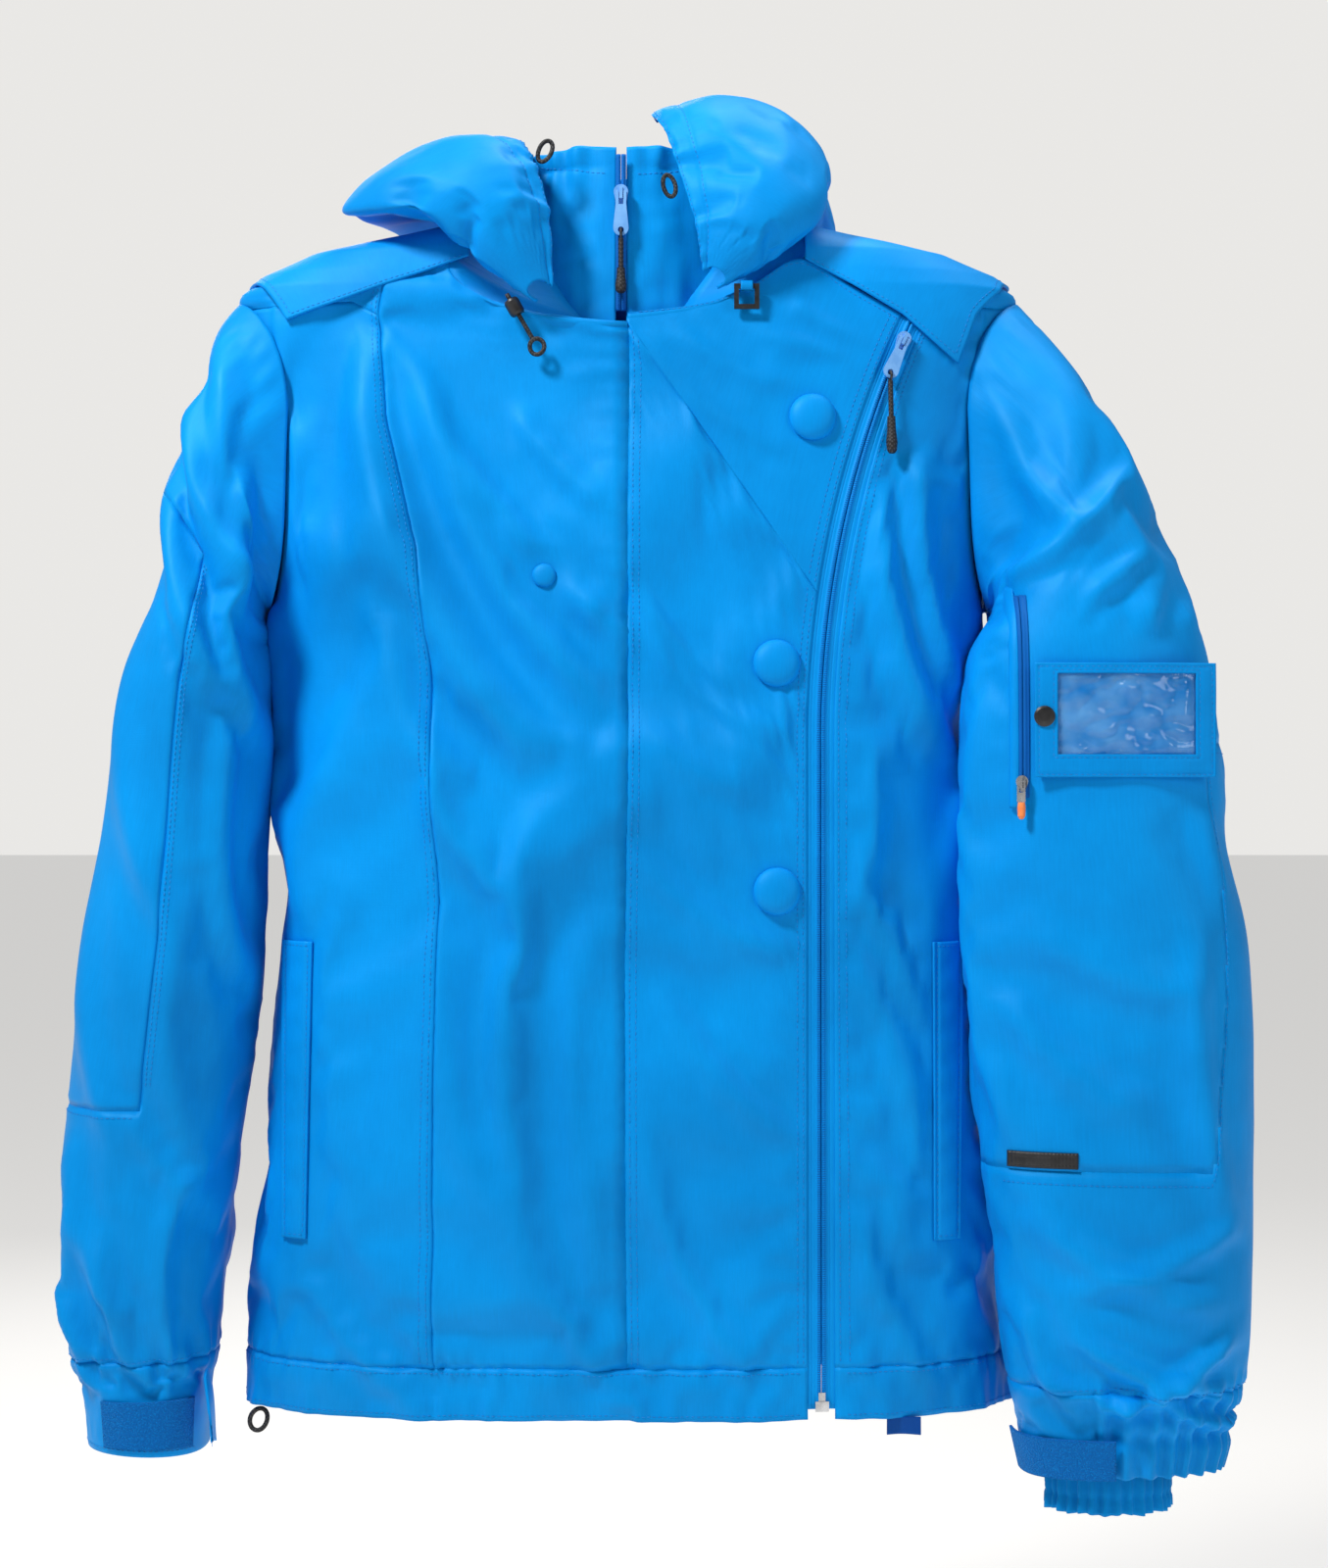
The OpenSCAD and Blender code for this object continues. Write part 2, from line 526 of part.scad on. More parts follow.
collar_zip_x = -4;
collar_slider_z = 5;
collar_p = [collar_zip_x, -collar_half_d - 3.7, collar_slider_z];
module at_collar() on_surface(collar_p, [0, -1, 0], [0, 0, 1]) children();
module collar_zip_chain() color(deep_blue) {
    for (side = [-1, 1])
        translate([collar_zip_x + side * 1.55 - 1.3, -collar_half_d - 3.2, -64])
            cube([2.6, 1.2, 94]);
}
module collar_slider() color(light_blue) at_collar() slider_body();
module collar_puller_tab() color(light_blue) at_collar() puller_tab();
module collar_puller_cord() color(black)
    at_collar() translate([tab_eye, 0, pin_z]) puller_cord(18, 15);

// ---------------------------------------------------------------- the left sleeve's front

// The ring at which the front of the left sleeve passes through x and z.
function ring_height(k, x) =
    let (r = along(left_rings, k - 1), q = (2 * x - r[0] - r[2]) / (r[2] - r[0]))
    (r[1] + r[3]) / 2 + (r[3] - r[1]) / 2 * q;
function ring_at(x, z, a = 1.5, b = 14.9, n = 0) =
    let (m = (a + b) / 2)
    n > 14 ? m : ring_height(m, x) > z ? ring_at(x, z, m, b, n + 1) : ring_at(x, z, a, m, n + 1);
function sleeve_front(x, z) =
    let (k = ring_at(x, z), r = along(left_rings, k - 1), q = (2 * x - r[0] - r[2]) / (r[2] - r[0]))
    ring_point(left_rings, 1, k, acos(max(-1, min(1, q))));
function sleeve_normal(x, z) =
    unit(cross(sleeve_front(x + 2, z) - sleeve_front(x - 2, z),
        sleeve_front(x, z + 2) - sleeve_front(x, z - 2)));

sleeve_zip_x = 230;
sleeve_zip_top = -238;
sleeve_zip_low = -356;
sleeve_slider_z = -348;
module sleeve_zip_tape() color(deep_blue) {
    for (side = [0, 1]) sheet(function (i, j)
        sleeve_front(sleeve_zip_x + (side == 0 ? mix(-3, -0.2, i) : mix(0.2, 3, i)),
            mix(sleeve_zip_low, sleeve_zip_top, j / 8)), 1, 8, 0.8, 1.5);
}
sleeve_n = sleeve_normal(sleeve_zip_x, sleeve_slider_z);
sleeve_p = sleeve_front(sleeve_zip_x, sleeve_slider_z) + 2.1 * sleeve_n;
sleeve_t = in_plane(sleeve_front(sleeve_zip_x, sleeve_slider_z + 5)
    - sleeve_front(sleeve_zip_x, sleeve_slider_z - 5), sleeve_n);
module at_sleeve_zip() on_surface(sleeve_p, sleeve_n, sleeve_t) children();
module sleeve_slider() color(silver) at_sleeve_zip() slider_body(7.2, 10);
module sleeve_puller() color(silver) at_sleeve_zip() {
    translate([pin_x, 0, pin_z]) rotate([90, 0, 0])
        cylinder(r = pin_r, h = 5, center = true, $fn = small_fn);
    for (y = [-1.9, 1.9]) translate([pin_x - 7, y - 0.6, pin_z - 0.6]) cube([7.8, 1.2, 1.2]);
    translate([pin_x - 12, -2.5, pin_z - 0.6]) cube([5.6, 5, 1.2]);
}
module sleeve_puller_tip() color(orange) at_sleeve_zip()
    translate([pin_x - 12.1, 0, pin_z]) rotate([0, -90, 0]) rotate_extrude($fn = small_fn)
        polygon([[0, 0], [2, 0], [2.4, 3], [2.2, 8], [1.2, 9.6], [0, 10]]);

// The lift-pass flap is flatter than the sleeve and stands off it at its outer edge.
flap_x0 = 235.5;
flap_top = -278;
flap_mid_x = 268;
function flap_at(x, z) = [x, sleeve_front(flap_mid_x, z)[1] + 0.0019 * pow(x - flap_mid_x, 2), z];
window_x0 = flap_x0 + (flap_w - window_w) / 2 + 0.5;
window_top = flap_top - 6;
flap_xs = [flap_x0, window_x0, window_x0 + window_w / 3, window_x0 + window_w * 2 / 3,
    window_x0 + window_w, flap_x0 + flap_w];
flap_zs = [flap_top - flap_h, window_top - window_h, window_top - window_h / 2, window_top, flap_top];
function pick(list, i) =
    i < 0 ? list[0] - 2 : i > len(list) - 1 ? list[len(list) - 1] + 2 : list[i];
module pass_flap() color(blue)
    sheet(function (i, j) flap_at(pick(flap_xs, i), pick(flap_zs, j)), 5, 4, 1.7, 3,
        function (i, j) !(i >= 1 && i < 4 && j >= 1 && j < 3));
module pass_window() color(clear)
    sheet(function (i, j) flap_at(mix(window_x0 - 3, window_x0 + window_w + 3, i / 4),
        mix(window_top - window_h - 3, window_top + 2, j / 3)), 4, 3, 0.7, 1.05);
function flap_normal(x, z) =
    unit(cross(flap_at(x + 2, z) - flap_at(x - 2, z), flap_at(x, z + 2) - flap_at(x, z - 2)));
module pass_snap() color(black) {
    x = 241.2;
    z = -309;
    stand(flap_at(x, z) + 3.3 * flap_normal(x, z), flap_normal(x, z)) rotate_extrude($fn = 32)
        polygon([[0, 0], [6, 0], [6, 0.8], [4.8, 1.7], [3, 2.1], [0, 2.1]]);
}
module sleeve_badge() color(black)
    sheet(function (i, j) sleeve_front(mix(222, 261, i / 4), mix(-570.5, -561, j)), 4, 1, 0.6, 2.2);

// ---------------------------------------------------------------- buttons, snaps and small fittings

module dome(x, z, d, h, lift) {
    n = front_normal(x, z);
    stand(front_at(x, z) + lift * n, n) rotate_extrude($fn = round_fn)
        polygon([for (a = [0:15:90]) [d / 2 * pow(cos(a), 0.7), h * (0.25 + 0.75 * sin(a))],
            [0, 0], [d / 2 - 1.5, 0]]);
}
module body_buttons() color(blue) {
    dome(110, -130, button_d, button_h, gap);
    dome(88, -277, button_d, button_h, gap);
    dome(88, -411, button_d, button_h, gap);
}
module body_snaps() color(blue) dome(-49, -225, snap_d, 3, gap);
module glove_ring() color(black) {
    translate([71, -66, -58]) rotate([90, 0, 0]) translate([0, 0, -1.2]) linear_extrude(2.4)
        difference() {
            square([15, 15], center = true);
            square([9.4, 9.4], center = true);
        }
}
module ring_strap() color(blue) difference() {
    translate([67.5, -69, -54.9]) cube([7, 8, 6]);
    translate([60, -68.1, -54]) cube([20, 4.2, 4.2]);
}
module ring_loop(p, r, tube) {
    translate(p) rotate([90, 0, 0]) rotate_extrude($fn = 32)
        translate([r, 0]) circle(r = tube, $fn = 16);
}
cord_r = 1.4;
lock_p = [-67, -69.5, -65];
lock_axis = unit([0.5, 0, -0.87]);
module hood_cord_loops() color(black) {
    ring_loop([-49, -63, 29], 5, cord_r);
    ring_loop([25, -65, 8], 5, cord_r);
    stand(lock_p - 9 * lock_axis, lock_axis) cylinder(r = cord_r, h = 32, $fn = small_fn);
    ring_loop(lock_p + 27 * lock_axis, 4.5, cord_r);
}
module hood_cord_lock() color(black) stand(lock_p, lock_axis) translate([0, 0, -5]) difference() {
    rotate_extrude($fn = 32)
        polygon([[0, 0], [3.8, 0], [4.6, 1.4], [4.6, 8.6], [3.8, 10], [0, 10]]);
    translate([0, 0, -1]) cylinder(r = cord_r + gap, h = 12, $fn = small_fn);
}
module hem_cord_loop() color(black) ring_loop([-222, -48, -730], 6, 1.5);
module hem_tab() color(deep_blue) translate([153, -83, -731]) cube([20, 1.6, 9.5]);

// ---------------------------------------------------------------- what is drawn

back_panel();
back_yoke();
left_front_panel();
left_shoulder_panel();
right_side_panel();
right_front_panel();
right_shoulder_panel();
front_flap();
lapel();
hem_band();
left_yoke_flap();
right_yoke_flap();
inner_placket();
lining();
powder_skirt();
collar_left_half();
collar_right_half();
hood();
hang_loop();
left_sleeve();
left_lower_sleeve();
left_cuff();
left_cuff_gaiter();
left_cuff_tab();
right_sleeve();
right_elbow_panel();
right_cuff();
right_cuff_gaiter();
right_cuff_tab();
right_loop_patch();
left_pocket_welt();
right_pocket_welt();
pocket_bags();
zip_tape_left();
zip_tape_right();
zip_bottom_box();
main_slider();
main_puller_tab();
main_puller_cord();
collar_zip_chain();
collar_slider();
collar_puller_tab();
collar_puller_cord();
sleeve_zip_tape();
sleeve_slider();
sleeve_puller();
sleeve_puller_tip();
pass_flap();
pass_window();
pass_snap();
body_buttons();
body_snaps();
sleeve_badge();
glove_ring();
ring_strap();
hood_cord_loops();
hood_cord_lock();
hem_cord_loop();
hem_tab();
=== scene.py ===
# %% [markdown]
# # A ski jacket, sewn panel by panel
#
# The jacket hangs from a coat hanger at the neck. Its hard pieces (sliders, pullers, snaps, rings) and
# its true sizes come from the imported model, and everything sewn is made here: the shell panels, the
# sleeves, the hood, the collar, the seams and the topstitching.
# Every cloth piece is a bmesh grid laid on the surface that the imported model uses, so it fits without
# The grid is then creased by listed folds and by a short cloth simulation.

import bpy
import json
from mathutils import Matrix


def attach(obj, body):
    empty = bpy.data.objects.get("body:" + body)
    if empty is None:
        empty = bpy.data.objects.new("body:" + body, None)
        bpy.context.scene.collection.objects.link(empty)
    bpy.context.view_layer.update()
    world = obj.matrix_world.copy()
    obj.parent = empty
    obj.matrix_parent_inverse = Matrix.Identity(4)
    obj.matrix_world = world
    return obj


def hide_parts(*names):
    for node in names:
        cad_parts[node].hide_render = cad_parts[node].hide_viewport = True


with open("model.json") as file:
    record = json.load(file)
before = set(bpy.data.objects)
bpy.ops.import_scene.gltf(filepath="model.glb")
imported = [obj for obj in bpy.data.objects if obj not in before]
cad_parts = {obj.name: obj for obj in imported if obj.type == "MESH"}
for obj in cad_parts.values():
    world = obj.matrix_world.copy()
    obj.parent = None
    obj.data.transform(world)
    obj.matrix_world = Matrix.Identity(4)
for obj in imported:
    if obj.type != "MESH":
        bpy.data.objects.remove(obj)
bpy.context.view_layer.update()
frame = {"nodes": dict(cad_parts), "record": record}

# %% Tools and units
import json
import math

import bmesh
import bpy
import numpy as np
from mathutils import Matrix, Vector, noise

MM = 0.001
PLACKET_DEPTH, LINING_DEPTH, SKIRT_DEPTH = 8.2, 10.5, 13.2  # mm behind the shell
BODY_FOLD_GAIN, SLEEVE_FOLD_GAIN, LAPEL_FOLD_GAIN = 2.0, 1.85, 1.5
SHELL = "shell"
scene = bpy.context.scene

# %% [markdown]
# ## Camera, floor and light
#
# The jacket is seen straight on from about a metre and a half, so its hem and cuffs stay in view.
# The floor is a plain pale board below it. Large soft lights give nylon its broad, gentle highlights;
# the key light stands high on the left so that the folds running down from the shoulder show.

# %% Camera and floor
camera_data = bpy.data.cameras.new("studio_camera")
camera_data.lens = 62.0
camera_data.sensor_width = 36.0
camera = bpy.data.objects.new("studio_camera", camera_data)
scene.collection.objects.link(camera)
camera.location = (0.0218, -1.672, -0.348)
camera.rotation_euler = (math.radians(90), 0, 0)
scene.camera = camera

floor_bm = bmesh.new()
bmesh.ops.create_grid(floor_bm, x_segments=2, y_segments=2, size=25.0)
bmesh.ops.translate(floor_bm, verts=floor_bm.verts, vec=(0, 0, -1.05))
floor_mesh = bpy.data.meshes.new("pale_floor")
floor_bm.to_mesh(floor_mesh)
floor_bm.free()
floor = bpy.data.objects.new("pale_floor", floor_mesh)
scene.collection.objects.link(floor)
floor_paint = bpy.data.materials.new("floor_paint")
floor_paint.use_nodes = True
floor_paint.node_tree.nodes["Principled BSDF"].inputs["Base Color"].default_value = (0.60, 0.59, 0.575, 1)
floor_paint.node_tree.nodes["Principled BSDF"].inputs["Roughness"].default_value = 0.9
floor_paint.node_tree.nodes["Principled BSDF"].inputs["Emission Color"].default_value = (0.86, 0.85, 0.83, 1)
floor_paint.node_tree.nodes["Principled BSDF"].inputs["Emission Strength"].default_value = 0.62
floor.data.materials.append(floor_paint)

# %% Soft studio light
world = bpy.data.worlds.new("pale_room")
world.use_nodes = True
surroundings = world.node_tree.nodes["Background"]
surroundings.inputs["Color"].default_value = (0.80, 0.82, 0.85, 1)
surroundings.inputs["Strength"].default_value = 0.18
backdrop = world.node_tree.nodes.new("ShaderNodeBackground")
backdrop.inputs["Color"].default_value = (0.86, 0.85, 0.83, 1)
backdrop.inputs["Strength"].default_value = 0.95
ray = world.node_tree.nodes.new("ShaderNodeLightPath")
either = world.node_tree.nodes.new("ShaderNodeMixShader")
world.node_tree.links.new(ray.outputs["Is Camera Ray"], either.inputs[0])
world.node_tree.links.new(surroundings.outputs[0], either.inputs[1])
world.node_tree.links.new(backdrop.outputs[0], either.inputs[2])
world.node_tree.links.new(either.outputs[0], world.node_tree.nodes["World Output"].inputs["Surface"])
scene.world = world
# plain sRGB keeps the strong blue of the cloth
scene.view_settings.view_transform = "Standard"


def soft_light(name, place, target, size, power, colour=(1, 1, 1)):
    data = bpy.data.lights.new(name, "AREA")
    data.shape = "DISK"
    data.size = size
    data.energy = power
    data.color = colour
    light = bpy.data.objects.new(name, data)
    light.location = place
    light.rotation_euler = (Vector(target) - Vector(place)).to_track_quat("-Z", "Y").to_euler()
    scene.collection.objects.link(light)
    return light


soft_light("key_light", (-1.0, -0.95, 1.25), (0, 0, -0.3), 0.4, 44, (1.0, 0.98, 0.95))
soft_light("fill_light", (1.7, -1.5, 0.4), (0, 0, -0.4), 1.0, 9)
soft_light("top_light", (0.3, 0.15, 1.3), (0, 0, -0.2), 0.8, 12)
soft_light("back_light", (-0.5, 1.9, 0.6), (0, 0, -0.3), 1.4, 16)

# %% [markdown]
# ## Finishes
#
# The shell is a bright blue coated nylon. Close up it is a plain weave; further off it shows slightly
# lighter and darker patches, rubbed a little paler where it has been handled.
# Each finish is a small node network. The weave follows the piece's own UV map, which is measured in
# metres of cloth, and the patches follow Object coordinates, so neighbouring panels match.

# %% Node helpers
def link(tree, a, b):
    tree.links.new(a, b)


def start_material(name):
    m = bpy.data.materials.new(name)
    m.use_nodes = True
    return m, m.node_tree, m.node_tree.nodes["Principled BSDF"]


def coordinates(tree, kind, scale=(1, 1, 1)):
    where = tree.nodes.new("ShaderNodeTexCoord")
    mapping = tree.nodes.new("ShaderNodeMapping")
    mapping.inputs["Scale"].default_value = scale
    link(tree, where.outputs[kind], mapping.inputs["Vector"])
    return mapping.outputs["Vector"]


def noise_tex(tree, vector, scale, detail=3.0, rough=0.5):
    n = tree.nodes.new("ShaderNodeTexNoise")
    n.inputs["Scale"].default_value = scale
    n.inputs["Detail"].default_value = detail
    n.inputs["Roughness"].default_value = rough
    link(tree, vector, n.inputs["Vector"])
    return n.outputs["Fac"]


def bands(tree, vector, axis, scale, distort=0.0):
    w = tree.nodes.new("ShaderNodeTexWave")
    w.bands_direction = axis
    w.inputs["Scale"].default_value = scale
    w.inputs["Distortion"].default_value = distort
    link(tree, vector, w.inputs["Vector"])
    return w.outputs["Fac"]


def ramp(tree, value, stops):
    r = tree.nodes.new("ShaderNodeValToRGB")
    while len(r.color_ramp.elements) < len(stops):
        r.color_ramp.elements.new(0.5)
    for element, (at, colour) in zip(r.color_ramp.elements, stops):
        element.position = at
        element.color = (*colour, 1)
    link(tree, value, r.inputs["Fac"])
    return r.outputs["Color"]


def combine(tree, a, b, how="MULTIPLY"):
    m = tree.nodes.new("ShaderNodeMath")
    m.operation = how
    link(tree, a, m.inputs[0])
    if hasattr(b, "node"):
        link(tree, b, m.inputs[1])
    else:
        m.inputs[1].default_value = b
    return m.outputs[0]


def bump(tree, height, strength, depth, before=None):
    b = tree.nodes.new("ShaderNodeBump")
    b.inputs["Strength"].default_value = strength
    b.inputs["Distance"].default_value = depth
    link(tree, height, b.inputs["Height"])
    if before is not None:
        link(tree, before, b.inputs["Normal"])
    return b.outputs["Normal"]


# %% Woven cloth finish
def woven(name, deep, mid, pale, thread=0.0008, rough=(0.42, 0.62), sheen=0.25, crinkle=0.35):
    """Plain-woven cloth: coloured patches, thread-wide weave, slub streaks and soft crinkles."""
    m, tree, shader = start_material(name)
    cloth = coordinates(tree, "UV")
    place = coordinates(tree, "Object")
    patch = noise_tex(tree, place, 9.0, 4.0, 0.55)
    tone = ramp(tree, patch, [(0.30, deep), (0.52, mid), (0.74, pale)])
    slub_vector = coordinates(tree, "UV", (1.0, 0.08, 1.0))
    slub = noise_tex(tree, slub_vector, 900.0, 2.0)
    mix = tree.nodes.new("ShaderNodeMix")
    mix.data_type = "RGBA"
    mix.blend_type = "MULTIPLY"
    mix.inputs["Factor"].default_value = 0.28
    link(tree, tone, mix.inputs[6])
    link(tree, ramp(tree, slub, [(0.30, (0.72, 0.76, 0.80)), (0.70, (1, 1, 1))]), mix.inputs[7])
    link(tree, mix.outputs[2], shader.inputs["Base Color"])
    spread = tree.nodes.new("ShaderNodeMapRange")
    spread.inputs["To Min"].default_value = rough[0]
    spread.inputs["To Max"].default_value = rough[1]
    link(tree, noise_tex(tree, place, 26.0, 5.0), spread.inputs["Value"])
    link(tree, spread.outputs["Result"], shader.inputs["Roughness"])
    period = 0.314 / thread
    weave = combine(tree, bands(tree, cloth, "X", period), bands(tree, cloth, "Y", period), "MAXIMUM")
    soft = bump(tree, noise_tex(tree, place, 48.0, 5.0, 0.55), crinkle, 0.0016)
    fine = bump(tree, weave, 0.22, 0.00012, soft)
    link(tree, fine, shader.inputs["Normal"])
    shader.inputs["Sheen Weight"].default_value = sheen
    shader.inputs["Sheen Roughness"].default_value = 0.45
    shader.inputs["Sheen Tint"].default_value = (0.10, 0.55, 1.0, 1)
    shader.inputs["Specular IOR Level"].default_value = 0.30
    shader.inputs["Specular Tint"].default_value = (0.25, 0.72, 1.0, 1)
    return m


SHELL_BLUE = woven("shell_nylon", (0.0, 0.235, 0.66), (0.0, 0.285, 0.79), (0.0, 0.335, 0.90),
    sheen=0.06, crinkle=0.22)
LINING_BLUE = woven("lining_taffeta", (0.004, 0.045, 0.26), (0.006, 0.065, 0.34), (0.01, 0.09, 0.42),
    thread=0.0005, rough=(0.30, 0.45), sheen=0.1, crinkle=0.6)
TAPE_BLUE = woven("zip_webbing", (0.002, 0.09, 0.38), (0.003, 0.12, 0.48), (0.006, 0.16, 0.58),
    thread=0.0011, rough=(0.55, 0.75), sheen=0.2, crinkle=0.1)
KNIT_BLUE = woven("stretch_knit", (0.0, 0.22, 0.62), (0.0, 0.27, 0.74), (0.0, 0.32, 0.84),
    thread=0.0018, rough=(0.65, 0.85), sheen=0.4, crinkle=0.5)
print("woven finishes:", SHELL_BLUE.name, LINING_BLUE.name, TAPE_BLUE.name, KNIT_BLUE.name)


# %% Thread, cord, moulded and metal finishes
def moulded(name, dark, light, rough, grain, depth, scale=600.0, metal=0.0, coat=0.0):
    """Moulded plastic, rubber or metal: a fine grain, small scuffs and a slightly uneven gloss."""
    m, tree, shader = start_material(name)
    place = coordinates(tree, "Object")
    link(tree, ramp(tree, noise_tex(tree, place, 120.0, 6.0, 0.65), [(0.35, dark), (0.68, light)]),
        shader.inputs["Base Color"])
    spread = tree.nodes.new("ShaderNodeMapRange")
    spread.inputs["To Min"].default_value = rough[0]
    spread.inputs["To Max"].default_value = rough[1]
    link(tree, noise_tex(tree, place, 260.0, 4.0), spread.inputs["Value"])
    link(tree, spread.outputs["Result"], shader.inputs["Roughness"])
    link(tree, bump(tree, noise_tex(tree, place, scale, 3.0), grain, depth), shader.inputs["Normal"])
    shader.inputs["Metallic"].default_value = metal
    shader.inputs["Coat Weight"].default_value = coat
    return m


THREAD_BLUE = moulded("sewing_thread", (0.0, 0.20, 0.58), (0.0, 0.27, 0.74), (0.5, 0.65), 0.3, 0.0001)
TAB_BLUE = moulded("pull_tab_plastic", (0.13, 0.36, 0.78), (0.20, 0.47, 0.90), (0.25, 0.42), 0.15, 0.0001, coat=0.15)
BLACK_RUBBER = moulded("black_rubber", (0.006, 0.006, 0.007), (0.02, 0.02, 0.022), (0.42, 0.6), 0.3, 0.0002)
BLACK_PLASTIC = moulded("black_nylon_plastic", (0.008, 0.008, 0.009), (0.028, 0.028, 0.03), (0.3, 0.45), 0.2, 0.0001)
BRIGHT_METAL = moulded("bright_zinc", (0.55, 0.56, 0.58), (0.80, 0.81, 0.83), (0.16, 0.34), 0.15, 0.0001, metal=1.0)
ORANGE_RUBBER = moulded("orange_rubber", (0.90, 0.20, 0.04), (1.0, 0.32, 0.10), (0.4, 0.55), 0.25, 0.0002)


# %% Braided cord, hook-and-loop pile and clear film
def braided(name, dark, light):
    m, tree, shader = start_material(name)
    place = coordinates(tree, "Object")
    one = bands(tree, place, "DIAGONAL", 240.0, 0.6)
    two = bands(tree, coordinates(tree, "Object", (-1, 1, 1)), "DIAGONAL", 240.0, 0.6)
    both = combine(tree, one, two, "MULTIPLY")
    link(tree, ramp(tree, both, [(0.1, dark), (0.8, light)]), shader.inputs["Base Color"])
    link(tree, bump(tree, both, 0.6, 0.0003), shader.inputs["Normal"])
    shader.inputs["Roughness"].default_value = 0.62
    return m


def pile(name, dark, light):
    m, tree, shader = start_material(name)
    place = coordinates(tree, "Object")
    cells = tree.nodes.new("ShaderNodeTexVoronoi")
    cells.inputs["Scale"].default_value = 900.0
    link(tree, place, cells.inputs["Vector"])
    fuzz = combine(tree, cells.outputs["Distance"], noise_tex(tree, place, 420.0, 6.0, 0.7), "ADD")
    link(tree, ramp(tree, fuzz, [(0.35, light), (1.0, dark)]), shader.inputs["Base Color"])
    link(tree, bump(tree, fuzz, 0.9, 0.0009), shader.inputs["Normal"])
    shader.inputs["Roughness"].default_value = 0.95
    shader.inputs["Sheen Weight"].default_value = 0.2
    shader.inputs["Sheen Roughness"].default_value = 0.6
    shader.inputs["Sheen Tint"].default_value = (0.2, 0.6, 1.0, 1)
    shader.inputs["Specular IOR Level"].default_value = 0.1
    return m


def clear_film(name):
    m, tree, shader = start_material(name)
    place = coordinates(tree, "Object")
    # the film's colour varies at random between deep and pale blue patches
    film_tone_patches = noise_tex(tree, place, 60.0, 4.0)
    link(tree, ramp(tree, film_tone_patches, [(0.3, (0.02, 0.24, 0.66)), (0.7, (0.25, 0.60, 0.95))]), shader.inputs["Base Color"])
    link(tree, bump(tree, noise_tex(tree, place, 90.0, 3.0), 0.5, 0.0012), shader.inputs["Normal"])
    shader.inputs["Roughness"].default_value = 0.04
    shader.inputs["Alpha"].default_value = 0.26
    shader.inputs["Coat Weight"].default_value = 1.0
    shader.inputs["Coat Roughness"].default_value = 0.04
    return m


BLACK_CORD = braided("black_elastic_cord", (0.003, 0.003, 0.004), (0.05, 0.05, 0.055))
LOOP_PILE = pile("hook_and_loop_pile", (0.0, 0.13, 0.48), (0.0, 0.26, 0.76))
CLEAR_FILM = clear_film("clear_vinyl")
print("finishes:", len(bpy.data.materials))

# %% [markdown]
# ## The body's form
#
# Under the cloth is a rounded box that narrows to the waist and slopes up over the shoulders.
# These small functions say where its surface is, in millimetres, and they are the same ones that the
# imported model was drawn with: the cloth must meet the zip, the buttons and the pockets exactly.

# %% Width and depth of the body at a height
NODE_SLOT_OF = {part["node"]: part["material_slot"] for part in frame["record"]["subparts"]}


def look(v, pairs):
    return np.interp(v, [p[0] for p in pairs], [p[1] for p in pairs])


def half_width(z):
    return look(z, [(-720, 234), (-600, 226), (-430, 212), (-320, 213), (-235, 217), (-120, 227),
        (-70, 238), (-50, 237), (-40, 222), (-28, 195), (-15, 135), (-5, 92), (0, 88)])


def front_depth(z):
    return look(z, [(-720, 95), (-500, 92), (-325, 88), (-84, 65), (-60, 61), (-30, 56), (-5, 52)])


def back_depth(z):
    return look(z, [(-720, 88), (-400, 80), (-200, 75), (-60, 62), (-30, 56), (-5, 53)])


def soften(v):
    return np.sign(v) * np.abs(v) ** (2 / 3)


def body_at(angle, z):
    a = np.radians(angle)
    s = np.sin(a)
    return np.stack([half_width(z) * soften(np.cos(a)),
        np.where(s < 0, front_depth(z), back_depth(z)) * soften(s), z + 0 * a], -1)


def angle_of(x, z):
    a = np.degrees(np.arccos(np.minimum(1, np.abs(x) / half_width(z)) ** 1.5))
    return np.where(x < 0, 180 + a, 360 - a)


def front_at(x, z):
    x, z = np.broadcast_arrays(np.asarray(x, float), np.asarray(z, float))
    return body_at(angle_of(x, z), z)


def zip_x(z):
    arc = 719 - np.sqrt(605**2 - (np.maximum(z, -325) + 325) ** 2)
    return np.where(z < -325, 114.0, arc)


def spline(p, q, r, s, u):
    """Catmull-Rom curve from q to r at u, 0 to 1, with p before and s after."""
    return 0.5 * (2 * q + (r - p) * u + (2 * p - 5 * q + 4 * r - s) * u**2 + (3 * q - p - 3 * r + s) * u**3)


def unit(v):
    return v / np.maximum(np.linalg.norm(v, axis=-1, keepdims=True), 1e-9)


def front_normal(x, z):
    return unit(np.cross(front_at(x + 2, z) - front_at(x - 2, z), front_at(x, z + 2) - front_at(x, z - 2)))


print("chest front at the middle:", front_at(0, -300).round(1))

# %% Columns and rows of the body grid
COLUMN_AT = np.array([0, 4, 8, 12, 24, 28, 32, 37, 42, 47])
EDGE_GAP, FOLD_LOW, FOLD_HIGH, ZIP_TOP = 8.0, -235.0, -72.0, -66.0


